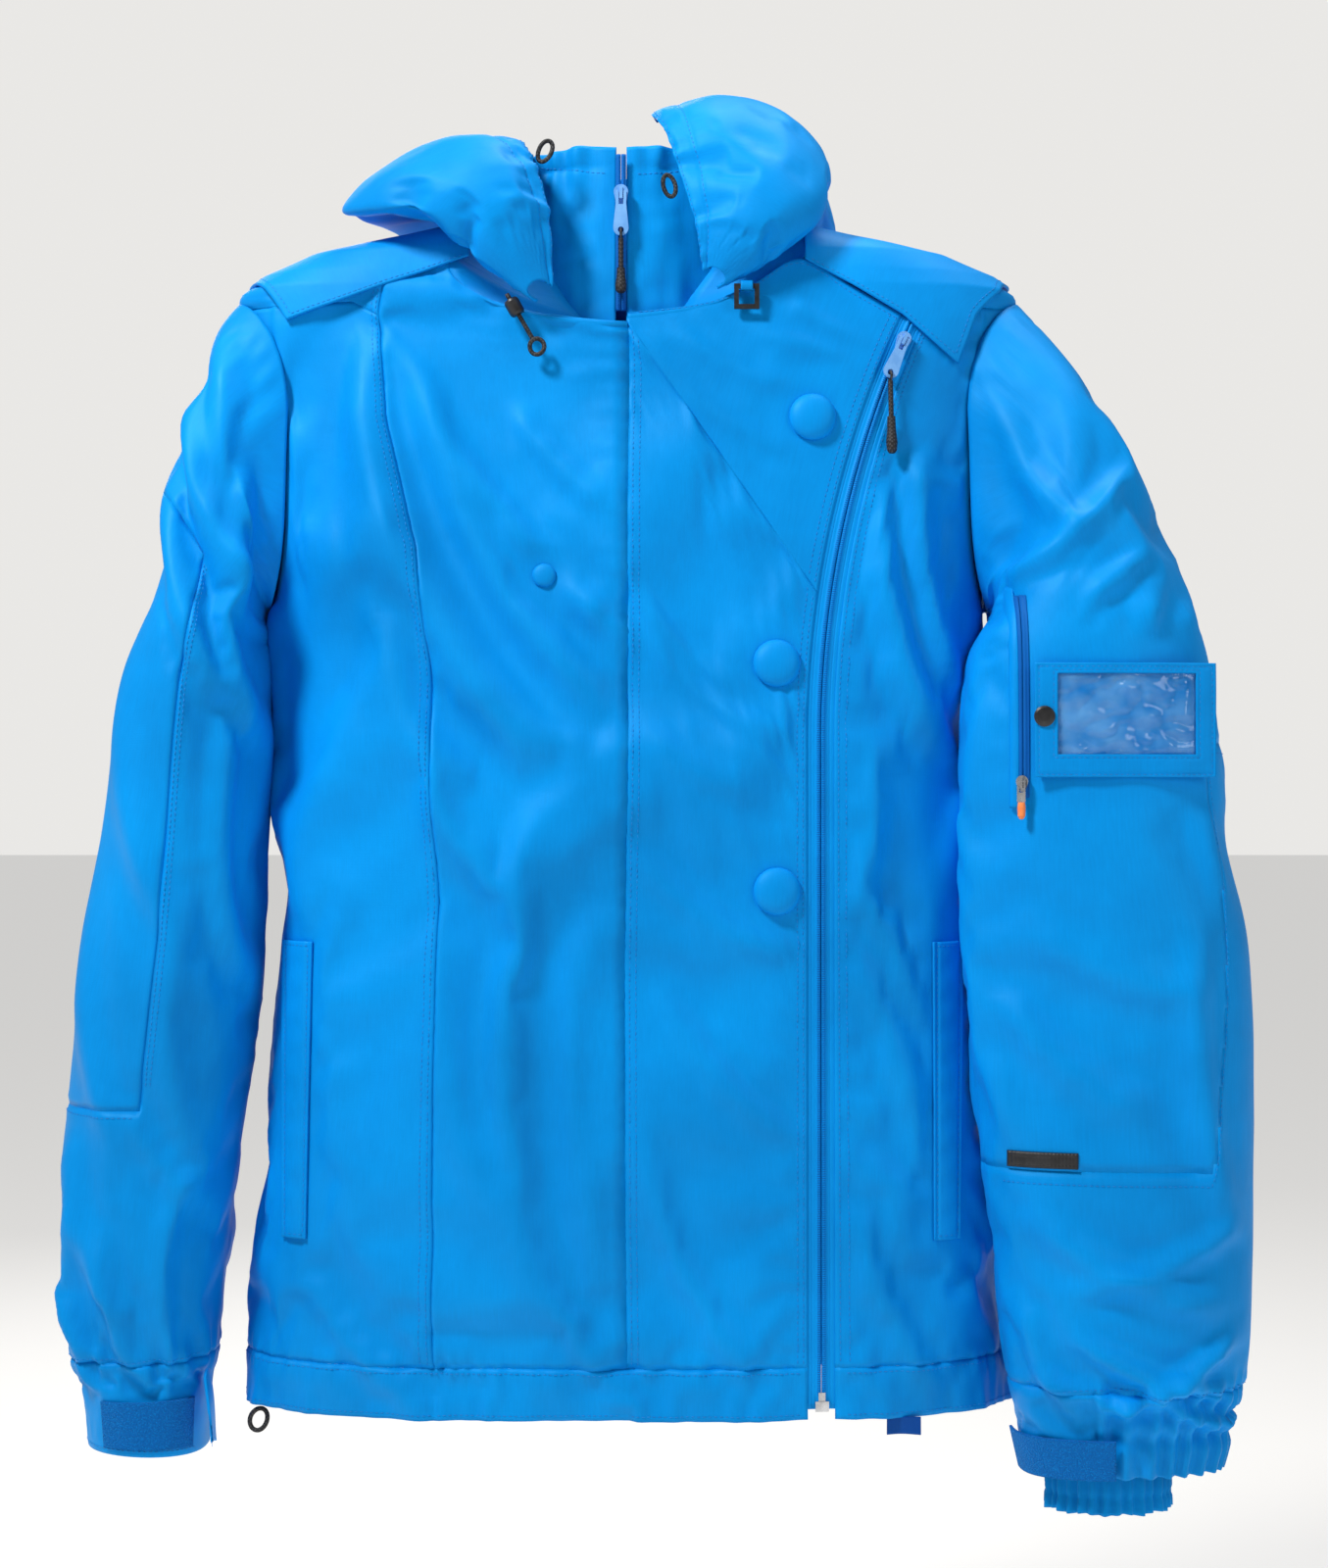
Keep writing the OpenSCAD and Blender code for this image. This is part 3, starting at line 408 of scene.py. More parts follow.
def column_angle(i, z):
    """The angle round the body of grid column i at height z: zip edge, side, back, side, front, zip edge."""
    i, z = np.broadcast_arrays(np.asarray(i, float), np.asarray(z, float))
    z60 = np.minimum(z, -60)
    near_neck = np.clip((z + 60) / 29, 0, 1)
    left_edge = angle_of(zip_x(z60) + EDGE_GAP, z60) - 360
    left_edge = left_edge + (-66 - left_edge) * near_neck
    princess = look(z, [(-720, -113), (-406, -113), (-290, -115), (-209, -122), (-133, -142), (-60, -150)])
    seam = angle_of(princess, z)
    seam = seam + (242 - seam) * np.clip((z + 75) / 45, 0, 1)
    flat = np.ones_like(z)
    keys = np.stack([left_edge, -30 * flat, 0 * flat, 30 * flat, 150 * flat, 180 * flat, 210 * flat, seam,
        270 * flat, angle_of(zip_x(z) - EDGE_GAP, z)])
    k = np.clip(np.searchsorted(COLUMN_AT, i, "right") - 1, 0, 8)
    t = (i - COLUMN_AT[k]) / (COLUMN_AT[k + 1] - COLUMN_AT[k])
    a = np.take_along_axis(keys, k[None], 0)[0]
    b = np.take_along_axis(keys, k[None] + 1, 0)[0]
    flap = angle_of(t * (zip_x(np.minimum(z, FOLD_LOW)) - EDGE_GAP), z)
    return np.where(i > 42, flap, a + (b - a) * t)


def neck_z(angle):
    s = np.sin(np.radians(angle))
    front = look(np.abs(s), [(0, -5), (0.5, -10), (0.71, -15), (0.87, -24), (0.934, -31), (1, -70)])
    return np.where(s > 0, -2 - 3 * np.abs(np.cos(np.radians(angle))), front)


TOP_AT = np.array([float(neck_z(column_angle(np.array([i]), np.array([-30.0]))[0])) for i in range(42)]
    + [FOLD_HIGH + (FOLD_LOW - FOLD_HIGH) * n / 5 for n in range(6)])


def row_height(i, j):
    under = look(i, [(0, -235), (36, -235), (42, -265), (47, -400)])
    over = look(i, [(0, -60), (36, -60), (42, -115), (47, -290)])
    top = np.interp(i, range(48), TOP_AT)
    return np.where(j < 1, -720 + 30 * j,
        np.where(j <= 15, -690 + (under + 690) * (j - 1) / 14,
            np.where(j <= 21, under + (over - under) * (j - 15) / 6, over + (top - over) * (j - 21) / 4)))


def bare_body(i, j):
    i, j = np.broadcast_arrays(np.asarray(i, float), np.asarray(j, float))
    z = row_height(i, j)
    return body_at(column_angle(i, z), z)


def facing(surface, i, j, step=0.15, low=(0, 0), high=(47, 25)):
    """Outward direction of a surface given as a function of two grid numbers."""
    a, b = np.clip(i - step, low[0], high[0]), np.clip(i + step, low[0], high[0])
    c, d = np.clip(j - step, low[1], high[1]), np.clip(j + step, low[1], high[1])
    return unit(np.cross(surface(b, j) - surface(a, j), surface(i, d) - surface(i, c)))


print("hem at the left side:", bare_body(8.0, 0.0).round(1))

# %% [markdown]
# ## Folds
#
# Hanging nylon folds in two ways. Long folds run from where the weight is carried, at the shoulders and
# the zip, down towards the hem; these are given as ridges along a line, each with a hollow on
# either side. Small crumples come from cloth having a little more length than it needs between its
# seams; a cloth simulation that lets the fabric grow by a few percent while its seams are held makes them.

# %% Folds given as ridges
def ridge_sum(x, z, lines):
    """Height at (x, z) of folds given as (x0, z0, x1, z1, half width, height)."""
    total = np.zeros_like(x, dtype=float)
    for x0, z0, x1, z1, wide, high in lines:
        length = math.hypot(x1 - x0, z1 - z0)
        ux, uz = (x1 - x0) / length, (z1 - z0) / length
        along = ((x - x0) * ux + (z - z0) * uz) / length
        bow = 0.06 * length * np.sin(np.pi * np.clip(along, 0, 1))
        across = ((x - x0) * -uz + (z - z0) * ux + bow) / wide
        ends = np.clip(np.minimum(along + 0.12, 1.12 - along) / 0.3, 0, 1)
        ends = ends * ends * (3 - 2 * ends)
        total += high * ends * (1 - 1.1 * across**2) * np.exp(-(across**2))
    return total


def ripple(points, size, seed):
    """Smooth repeatable noise, about -1 to 1, at points in millimetres."""
    shift = Vector((seed * 3.1, seed * 1.7, -seed * 2.3))
    return np.array([noise.noise(Vector(p) / size + shift) for p in points.reshape(-1, 3)]).reshape(points.shape[:-1])


FRONT_FOLDS = [
    (-165, -95, -60, -330, 22, 6.5), (-128, -95, -22, -300, 17, 4.5), (-98, -150, 2, -262, 13, 3.6),
    (-70, -120, -4, -190, 10, 2.4), (-45, -82, 2, -122, 8, 1.8), (-150, -190, -75, -420, 20, 4.0),
    (-112, -330, -78, -610, 18, 2.6), (-60, -380, -40, -690, 17, 2.4), (-20, -430, -10, -640, 15, 1.6),
    (-175, -300, -160, -620, 20, 2.5), (8, -236, 62, -292, 8, 1.7), (12, -262, 80, -318, 8, 1.5),
    (10, -318, 72, -352, 9, 1.4), (6, -392, 98, -450, 11, 1.6), (20, -470, 100, -560, 12, 1.5),
    (10, -560, 70, -690, 14, 1.9), (-40, -650, 10, -715, 10, 1.8), (-190, -640, -120, -712, 12, 1.6),
    (148, -150, 186, -330, 15, 4.2), (176, -110, 198, -300, 11, 4.5), (142, -330, 178, -560, 17, 2.6),
    (132, -600, 180, -700, 12, 1.8), (-205, -140, -196, -420, 12, 3.0), (150, -420, 205, -520, 12, 2.0),
]
BACK_FOLDS = [
    (-150, -90, -60, -330, 22, 5.0), (140, -100, 50, -360, 22, 5.0), (-40, -130, 20, -420, 20, 3.5),
    (-120, -360, -90, -690, 20, 3.2), (100, -400, 110, -700, 22, 3.2), (10, -430, -10, -700, 20, 2.6),
    (-190, -250, -170, -600, 16, 3.0), (185, -250, 175, -600, 16, 3.0), (-90, -250, 80, -300, 12, 1.8),
]


def body_folds(p):
    """Height of the folds on the body at points p, one set in front and one behind."""
    front = ridge_sum(p[..., 0], p[..., 2], FRONT_FOLDS)
    back = ridge_sum(p[..., 0], p[..., 2], BACK_FOLDS)
    ahead = np.clip(-p[..., 1] / 25, 0, 1)
    behind = np.clip(p[..., 1] / 25, 0, 1)
    return front * ahead + back * behind


# %% Where the shell is held flat
HARD_SPOTS = [(110, -130, 17), (88, -277, 17), (88, -411, 17), (-49, -225, 10), (71, -58, 14), (164, -84, 14),
    (168, -118, 30)]


def freedom(p):
    """1 where the front is free to fold, 0 at the zip, the buttons and the pocket welts."""
    x, z = p[..., 0], p[..., 2]
    free = np.clip((np.abs(x - zip_x(z)) - 9) / 20, 0, 1)
    for cx, cz, r in HARD_SPOTS:
        free = np.minimum(free, np.clip((np.hypot(x - cx, z - cz) - r) / 16, 0, 1))
    for x0, x1 in ((180, 201), (-208, -186)):
        near = np.hypot(np.maximum(0, np.maximum(x0 - x, x - x1)), np.maximum(0, np.maximum(-622 - z, z + 438)))
        free = np.minimum(free, np.clip(near / 14, 0, 1))
    return np.where(p[..., 1] < 0, free, 1.0)


# %% Crumple a grid with a short cloth simulation
def crumple(name, rest, held, grow, frames=18, most=9.0, gravity=0.05, bend=0.6):
    """The grid's points after its cloth has grown by that share while the held points stay put."""
    nu, nv = rest.shape[0] - 1, rest.shape[1] - 1
    bm = bmesh.new()
    bmesh.ops.create_grid(bm, x_segments=nu, y_segments=nv, size=0.5)
    order = np.array([[round((v.co.x + 0.5) * nu), round((v.co.y + 0.5) * nv)] for v in bm.verts])
    for v, (a, b) in zip(bm.verts, order):
        v.co = Vector(rest[a, b]) * MM
    mesh = bpy.data.meshes.new(name + "_sim")
    bm.to_mesh(mesh)
    bm.free()
    cloth = bpy.data.objects.new(name + "_sim", mesh)
    scene.collection.objects.link(cloth)
    group = cloth.vertex_groups.new(name="held")
    for n, (a, b) in enumerate(order):
        if held[a, b] > 0.01:
            group.add([n], float(min(1, held[a, b])), "REPLACE")
    mod = cloth.modifiers.new("cloth", "CLOTH")
    s = mod.settings
    s.quality = 4
    s.mass = 0.12
    s.tension_stiffness = s.compression_stiffness = 18
    s.shear_stiffness = 6
    s.bending_stiffness = bend
    s.air_damping = 3
    s.vertex_group_mass = "held"
    s.shrink_min = -grow
    s.effector_weights.gravity = gravity
    mod.collision_settings.use_collision = False
    mod.point_cache.frame_start = 1
    mod.point_cache.frame_end = frames + 1
    for f in range(1, frames + 1):
        scene.frame_set(f)
    shape = cloth.evaluated_get(bpy.context.evaluated_depsgraph_get()).to_mesh()
    moved = np.zeros(len(shape.vertices) * 3)
    shape.vertices.foreach_get("co", moved)
    result = np.array(rest)
    result[order[:, 0], order[:, 1]] = moved.reshape(-1, 3) / MM
    scene.frame_set(1)
    bpy.data.objects.remove(cloth)
    bpy.data.meshes.remove(mesh)
    shift = result - rest
    size = np.linalg.norm(shift, axis=-1, keepdims=True)
    shift = shift * most / np.maximum(most, size)
    print(f"{name}: crumpled, mean {size.mean():.2f} mm, largest {size.max():.2f} mm")
    return rest + shift


def read_grid(grid, a, b):
    """Smooth reading of a grid of vectors between its points."""
    def weights(t):
        return np.stack([-t + 2 * t**2 - t**3, 2 - 5 * t**2 + 3 * t**3, t + 4 * t**2 - 3 * t**3, -t**2 + t**3]) / 2

    n, m = grid.shape[0] - 1, grid.shape[1] - 1
    ia, ib = np.clip(np.floor(a), 0, n - 1).astype(int), np.clip(np.floor(b), 0, m - 1).astype(int)
    wa, wb = weights(a - ia), weights(b - ib)
    total = 0
    for p in range(4):
        for q in range(4):
            total = total + (wa[p] * wb[q])[..., None] * grid[np.clip(ia + p - 1, 0, n), np.clip(ib + q - 1, 0, m)]
    return total


# %% The body shell, folded and crumpled
PER = 3
columns_fine, rows_fine = 47 * PER, 25 * PER
grid_i, grid_j = np.meshgrid(np.arange(columns_fine + 1) / PER, np.arange(rows_fine + 1) / PER, indexing="ij")
bare = bare_body(grid_i, grid_j)
out = facing(bare_body, grid_i, grid_j)
free = freedom(bare)
edge = np.minimum(grid_i, 47 - grid_i)
edge_top = 25 - grid_j
in_hole = (grid_j >= 15) & (grid_j <= 21) & (((grid_i >= 4) & (grid_i <= 12)) | ((grid_i >= 24) & (grid_i <= 32)))
near_edge = np.clip(np.minimum(edge / 0.8, edge_top / np.where(grid_i > 42, 3.5, 1.0)), 0, 1)
near_edge = near_edge * near_edge * (3 - 2 * near_edge)
swell = (BODY_FOLD_GAIN * body_folds(bare) + 1.6 * ripple(bare, 90, 1) + 0.6 * ripple(bare, 30, 2)) * free * near_edge
swell = np.where(in_hole, 0, swell)
rest = bare + out * swell[..., None]
held = np.clip(1 - free, 0, 1)
held = np.maximum(held, (edge < 0.01) | (edge_top < 0.01) | in_hole)
held = np.maximum(held, 0.35 * (grid_j < 0.4))
held = np.maximum(held, 0.5 * (np.abs(grid_j - 1) < 0.2))
creased = crumple("body_shell", rest, held, 0.016, bend=2.0)
BODY_SHIFT = creased - bare
# the shell may swell outwards freely, but it stays clear of the layers behind it
INWARD_MOST = 4.5  # mm; deeper folds would meet the linings
depth = np.sum(BODY_SHIFT * out, -1)
BODY_SHIFT = BODY_SHIFT + out * (np.where(depth < 0, INWARD_MOST * np.tanh(depth / INWARD_MOST),
    depth) - depth)[..., None]
print("body folds, largest shift:", round(float(np.abs(BODY_SHIFT).max()), 1), "mm")

# column, column width in mm and how strongly the seam pulls in; the centre front is only a soft crease
SEAM_COLUMNS = [(8.0, 33.0, 1.0), (28.0, 33.0, 1.0), (37.0, 24.0, 0.8), (42.0, 22.5, 0.35)]


def body(i, j):
    """The finished shell surface: form, folds and crumples, and the pull of each seam."""
    i, j = np.broadcast_arrays(np.asarray(i, float), np.asarray(j, float))
    p = bare_body(i, j) + read_grid(BODY_SHIFT, i * PER, j * PER)
    n = facing(bare_body, i, j)
    dip = np.zeros_like(i)
    for column, width, pull in SEAM_COLUMNS:
        d = np.abs(i - column) * width
        dip += pull * (-0.9 * np.exp(-((d / 1.5) ** 2)) + 0.35 * np.exp(-(((d - 4) / 3) ** 2)))
        dip += 0.35 * np.sin(p[..., 2] / 1.9 + column) * np.exp(-((d / 6) ** 2))
    d = np.abs(j - 1) * 32
    pucker = np.sin(i * 5.2) * 0.7 + np.sin(i * 11.7 + 1) * 0.45
    dip += -1.0 * np.exp(-((d / 1.6) ** 2)) + pucker * np.exp(-((d / 9) ** 2))
    dip += np.clip(1 - j * 1.4, 0, 1) * (1.6 * np.sin(i * 2.1) + 1.2 * np.sin(i * 0.83 + 2))
    d = np.abs(j - 18) * 30
    dip += np.where((i > 8) & (i < 28), -0.9 * np.exp(-((d / 1.6) ** 2)), 0)
    fade = np.clip(np.minimum(i, 47 - i) / 0.35, 0, 1)
    return p + n * (dip * fade)[..., None]


# %% Lay a panel of cloth
def crowd(t, pull=0.6):
    """Grid lines drawn closer together towards both ends, where the seams are."""
    return t - pull * np.sin(2 * np.pi * t) / (2 * np.pi)


def panel_mesh(surface, i0, i1, j0, j1, across, along, pull=0.6, cut=None, weld=False, uv=(0.03, 0.03)):
    bm = bmesh.new()
    layer = bm.loops.layers.uv.new("cloth")
    bmesh.ops.create_grid(bm, x_segments=across, y_segments=along, size=0.5)
    flat = np.array([v.co for v in bm.verts])
    i = i0 + (i1 - i0) * crowd(flat[:, 0] + 0.5, 0 if weld else pull)
    j = j0 + (j1 - j0) * crowd(flat[:, 1] + 0.5, pull)
    for face in bm.faces:
        for loop in face.loops:
            n = loop.vert.index
            loop[layer].uv = (i[n] * uv[0], j[n] * uv[1])
    if cut is not None:
        for f in bm.faces:
            f.tag = bool(cut(sum(i[v.index] for v in f.verts) / 4, sum(j[v.index] for v in f.verts) / 4))
    for v, p in zip(bm.verts, surface(i, j) * MM):
        v.co = p
    if cut is not None:
        bmesh.ops.delete(bm, geom=[f for f in bm.faces if f.tag], context="FACES")
    if weld:
        bmesh.ops.remove_doubles(bm, verts=bm.verts, dist=2e-5)
    for f in bm.faces:
        f.smooth = True
    return bm


def finish_piece(name, bm, material, nodes=(), ride=SHELL, thick=0.0, offset=-1.0, smooth=0):
    """Turn a bmesh into a finished piece: finish, cloth thickness, body and the CAD nodes it stands for."""
    mesh = bpy.data.meshes.new(name)
    bm.to_mesh(mesh)
    bm.free()
    piece = bpy.data.objects.new(name, mesh)
    scene.collection.objects.link(piece)
    mesh.materials.append(material)
    if smooth:
        sub = piece.modifiers.new("smooth", "SUBSURF")
        sub.levels = sub.render_levels = smooth
    if thick:
        wall = piece.modifiers.new("cloth_thickness", "SOLIDIFY")
        wall.thickness = thick
        wall.offset = offset
    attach(piece, ride)
    if nodes:
        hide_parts(*nodes)
    return piece


def in_armhole(i, j):
    """The opening in the shell, a little smaller than the top of the sleeve that covers it."""
    if not (14.5 < j < 21.5 and (3 < i < 13 or 23 < i < 33)):
        return False
    _, y, z = bare_body(np.array([float(i)]), np.array([float(j)]))[0]
    return abs(y / 42) ** 4 + abs((z + 150) / 84) ** 4 < 1


# %% [markdown]
# ## Shell panels
#
# The shell is cut in ten panels. Each one is a grid over its own share of the body's columns and rows,
# with the grid lines crowded towards the seams so that the narrow dip of a seam is sharp.
# Two armholes are left open by deleting the faces inside them.

# %% Back, sides, fronts, shoulders and hem band
PANELS = [
    ("back_panel", 8, 28, 1, 18, 120, 96), ("back_yoke", 8, 28, 18, 25, 120, 42),
    ("left_front_panel", 0, 8, 1, 21, 64, 120), ("left_shoulder_panel", 0, 8, 21, 25, 64, 26),
    ("right_side_panel", 28, 37, 1, 21, 72, 120), ("right_shoulder_panel", 28, 37, 21, 25, 72, 26),
    ("right_front_panel", 37, 42, 1, 25, 44, 150), ("front_flap", 42, 47, 1, 25, 50, 130),
    ("hem_band", 0, 47, 0, 1, 380, 12),
]
shell_pieces = {}
for name, i0, i1, j0, j1, across, along in PANELS:
    pull = {"hem_band": 0.0, "right_front_panel": 0.2, "front_flap": 0.2}.get(name, 0.45)
    bm = panel_mesh(body, i0, i1, j0, j1, across, along, pull, in_armhole, uv=(0.032, 0.030))
    piece = finish_piece("shell_" + name, bm, SHELL_BLUE, [name], thick=0.0013)
    shell_pieces[name] = piece
print("shell panels:", len(shell_pieces), "faces:", sum(len(p.data.polygons) for p in shell_pieces.values()))

# %% [markdown]
# ## The lapel
#
# The top corner of the front flap can fold back like a coat's lapel, and its crease runs from the
# collar down to the slanting zip. It lies flat here, so it is one more panel, edged by that crease.

# %% The lapel
LAPEL_TOP = np.array([[0, -67], [45, -61], [75, -49], [104, -33], [135, -50], [float(zip_x(-66.0)) - 8, -66]], float)
LAPEL_FOLDS = [(12, -96, 96, -150, 9, 1.7), (30, -80, 120, -118, 9, 1.5), (60, -66, 132, -92, 8, 1.3),
    (16, -118, 74, -178, 8, 1.4), (60, -150, 104, -196, 8, 1.2), (98, -60, 146, -84, 7, 1.2)]


def catmull(points, t):
    last = len(points) - 1
    k = np.clip(np.floor(t), 0, last - 1).astype(int)
    u = (t - k)[..., None]
    p, q, r, s = points[np.maximum(k - 1, 0)], points[k], points[k + 1], points[np.minimum(k + 2, last)]
    return spline(p, q, r, s, u)


def lapel(i, j):
    s, t = np.clip(i / 5, 0, 1), np.clip(j / 6, 0, 1)
    z0 = FOLD_HIGH + (FOLD_LOW - FOLD_HIGH) * s
    low = np.stack([s * (zip_x(FOLD_LOW) - EDGE_GAP), z0], -1)
    high = catmull(LAPEL_TOP, 5 * s)
    end_z = FOLD_LOW + (ZIP_TOP - FOLD_LOW) * t
    end = np.stack([zip_x(end_z) - EDGE_GAP, end_z], -1)
    corner = np.array([float(zip_x(FOLD_LOW)) - EDGE_GAP, FOLD_LOW])
    straight = corner + (LAPEL_TOP[5] - corner) * t[..., None]
    p = low + (high - low) * t[..., None] + s[..., None] * (end - straight)
    base = front_at(p[..., 0], p[..., 1])
    n = front_normal(p[..., 0], p[..., 1])
    hold = np.clip(np.minimum(np.minimum(t * 3.2, (1.02 - t) * 8), (1 - s) * 6), 0, 1) * freedom(base)
    rise = (LAPEL_FOLD_GAIN * ridge_sum(base[..., 0], base[..., 2], LAPEL_FOLDS) + 1.3 * ripple(base, 30, 5)
        + 0.5 * ripple(base, 13, 6))
    return base + n * (rise * hold)[..., None]


piece = finish_piece("shell_lapel", panel_mesh(lapel, 0, 5, 0, 6, 60, 70, 0.15, uv=(0.023, 0.02)), SHELL_BLUE,
    ["lapel"], thick=0.0013)
print(piece.name, len(piece.data.polygons), "faces")

# %% [markdown]
# ## Linings behind the shell
#
# Behind the flap is an inner placket, inside the body a smooth lining, and above the hem a powder skirt
# that keeps snow out. They show through the neck and the hem, so they get the same care, in thinner cloth.

# %% Inner placket, lining, powder skirt and pocket bags
def placket(i, j):
    p = front_at(-60 + 160 * i / 6, -700 + 622 * j / 20)
    n = front_normal(-60 + 160 * i / 6, -700 + 622 * j / 20)
    return p - n * PLACKET_DEPTH


def body_facing(turn, z):
    """Outward direction of the plain body at an angle in degrees and a height."""
    return unit(np.cross(body_at(turn + 2, z) - body_at(turn - 2, z), body_at(turn, z + 3) - body_at(turn, z - 3)))


def round_body(inset, low, high, rows):
    def surface(i, j):
        z = low + (high - low) * j / rows
        p = body_at(i * 15.0, z)
        n = body_facing(i * 15.0, z)
        wave = 0.8 * np.sin(i * 3.1) * np.sin(j * 0.9) + 0.5 * np.sin(i * 7.3 + j)
        return p - n * (inset + wave * 0.5)[..., None]

    return surface


def lining_surface(i, j):
    z = np.where(j > 13, -60 + (j - 13) * 34, -690 + 630 * np.minimum(j, 13) / 13)
    p = body_at(i * 15.0, z)
    n = body_facing(i * 15.0, z)
    return p - n * (LINING_DEPTH + 0.4 * np.sin(i * 5.3) * np.sin(j * 1.7))[..., None]


def lining_cut(i, j):
    return (16 < i < 20 and j > 12) or (15 < i < 21 and j > 13) or (9 < j < 13 and (i > 22 or i < 2 or 10 < i < 14))


piece = finish_piece("inner_placket_cloth", panel_mesh(placket, 0, 6, 0, 20, 36, 100, uv=(0.027, 0.031)), SHELL_BLUE,
    ["inner_placket"], thick=0.001)
piece = finish_piece("body_lining", panel_mesh(lining_surface, 0, 24, 0, 14, 168, 98, 0.0, lining_cut, True,
    (0.06, 0.05)),
    LINING_BLUE, ["lining"], thick=0.0006)
piece = finish_piece("powder_skirt_cloth", panel_mesh(round_body(SKIRT_DEPTH, -690, -560, 4), 0, 24, 0, 4, 168,
    20, 0.0, None, True,
    (0.06, 0.032)), LINING_BLUE, ["powder_skirt"], thick=0.0006)


def bag(i, j):
    return bare_body(i, j) - facing(bare_body, i, j) * PLACKET_DEPTH


for name, first, last, across in (("left_pocket_bag", 1, 6, 20), ("right_pocket_bag", 30, 37, 28)):
    piece = finish_piece(name, panel_mesh(bag, first, last, 3, 9, across, 24), LINING_BLUE,
        ["pocket_bags"], thick=0.0006)
print("linings made")

# %% [markdown]
# ## Yoke flaps
#
# A loose flap of shell cloth covers each shoulder seam and sheds water. Its outer edge stands free over
# the top of the sleeve, so it casts a shadow line there; that free edge is lifted and waved a little.

# %% Yoke flaps over the shoulders
def ridge_height(x):
    return look(x, [(88, 0), (92, -5), (135, -15), (195, -28), (222, -40), (237, -50)])


def yoke_surface(side):
    low_line = [(104, -33), (164, -68), (186, -88), (215, -112)] if side > 0 else [(95, -33), (160, -56), (222, -78)]

    def surface(i, j):
        u = i / 6 if side > 0 else 1 - i / 6
        t = j / 10
        w = np.abs(2 * t - 1)
        front = t < 0.5
        outer = look(w, [(0, 230), (0.4, 222), (0.7, 212), (1, 201)])
        if side > 0:
            outer = np.where(front, look(w, [(0, 230), (0.4, 222), (0.7, 205), (1, 195)]), outer)
        start = 108 if side > 0 else 97
        x = start + (outer - start) * u
        top = ridge_height(x)
        low = np.where(front, look(x, low_line), look(x, [(95, -50), (222, -95)]))
        z = top - (top - low) * w * w
        d = np.where(front, front_depth(z), back_depth(z))
        y = d * np.maximum(0, 1 - (x / half_width(z)) ** 3) ** (1 / 3)
        p = np.stack([side * x, np.where(front, -1, 1) * y, z], -1)
        edge_rise = np.clip((u - 0.55) / 0.45, 0, 1) ** 2 * (2.0 + 1.6 * np.sin(j * 1.3))
        wave = 0.8 * ripple(p, 30, 8 + side)
        away = unit(p - np.array([side * 150.0, 0.0, -90.0]))
        return p + away * (3.6 + edge_rise + wave)[..., None]

    return surface


for side, name in ((1, "left_yoke_flap"), (-1, "right_yoke_flap")):
    bm = panel_mesh(yoke_surface(side), 0, 6, 0, 10, 56, 96, 0.3, uv=(0.02, 0.02))
    piece = finish_piece(name + "_cloth", bm, SHELL_BLUE, [name], thick=0.0018)
print("yoke flaps made")

# %% [markdown]
# ## Sleeves
#
# A sleeve is a tube that hangs from the armhole. It is given as rings, each with an inner and an outer
# point and a depth, and a smooth curve runs through the rings. The grid's closing edge is on the inner
# side, next to the body, where a tailor also hides the seam. It is held still while the rest crumples.

# %% The rings of both sleeves
LEFT_RINGS = np.array([
    [221, -242, 256, -78, -14, 60], [219, -248, 278, -112, -30, 62], [216, -254, 304, -165, -44, 60],
    [209, -262, 326, -220, -54, 57], [203, -280, 343, -268, -61, 54], [199, -325, 351, -325, -66, 50],
    [198, -380, 356, -380, -66, 50], [200, -435, 365, -435, -66, 50], [204, -493, 368, -493, -67, 49],
    [210, -574, 368, -574, -68, 48], [216, -620, 368, -620, -68, 47], [221, -665, 367, -665, -68, 46],
    [226, -700, 364, -700, -68, 43], [232, -728, 358, -727, -66, 38], [238, -754, 352, -752, -64, 35]], float)
RIGHT_RINGS = np.array([
    [221, -242, 252, -72, -4, 58], [221, -247, 266, -118, -8, 64], [220, -252, 280, -170, -12, 68],
    [219, -260, 291, -222, -16, 70], [218, -275, 300, -262, -19, 71], [218, -320, 310, -318, -20, 71],
    [220, -375, 316, -375, -21, 70], [221, -435, 325, -435, -22, 68], [226, -493, 332, -493, -23, 66],
    [232, -540, 336, -540, -24, 64], [240, -600, 340, -600, -26, 60], [246, -650, 338, -650, -28, 57],
    [250, -690, 334, -690, -29, 52], [253, -712, 329, -712, -30, 49], [255, -748, 326, -744, -30, 46]], float)


def side_x(y, z):
    d = np.where(y < 0, front_depth(z), back_depth(z))
    return half_width(z) * (1 - np.minimum(1, np.abs(y) / d) ** 3) ** (1 / 3)


def ring(rings, side, m, ph):
    """Points of ring number m at angle ph, in radians; ring 0 lies round the armhole."""
    s, c = np.sin(ph), np.cos(ph)
    z0 = -148 + 94 * np.sign(c) * np.sqrt(np.abs(c))
    y0 = -side * 47 * np.sign(s) * np.sqrt(np.abs(s))
    hole = np.stack([side * (side_x(y0, z0) + 2.6 + 2.4 * np.abs(s)), y0, z0], -1)
    r = rings[np.clip(m - 1, 0, 14)]
    flat = np.where(s * side > 0, np.sign(s) * np.abs(s) ** 0.75, s)
    cx, cz = (r[..., 0] + r[..., 2]) / 2, (r[..., 1] + r[..., 3]) / 2
    ux, uz = (r[..., 2] - r[..., 0]) / 2, (r[..., 3] - r[..., 1]) / 2
    tube = np.stack([side * (cx + ux * c), r[..., 4] - side * r[..., 5] * flat, cz + uz * c], -1)
    return np.where((m <= 0)[..., None], hole, tube)


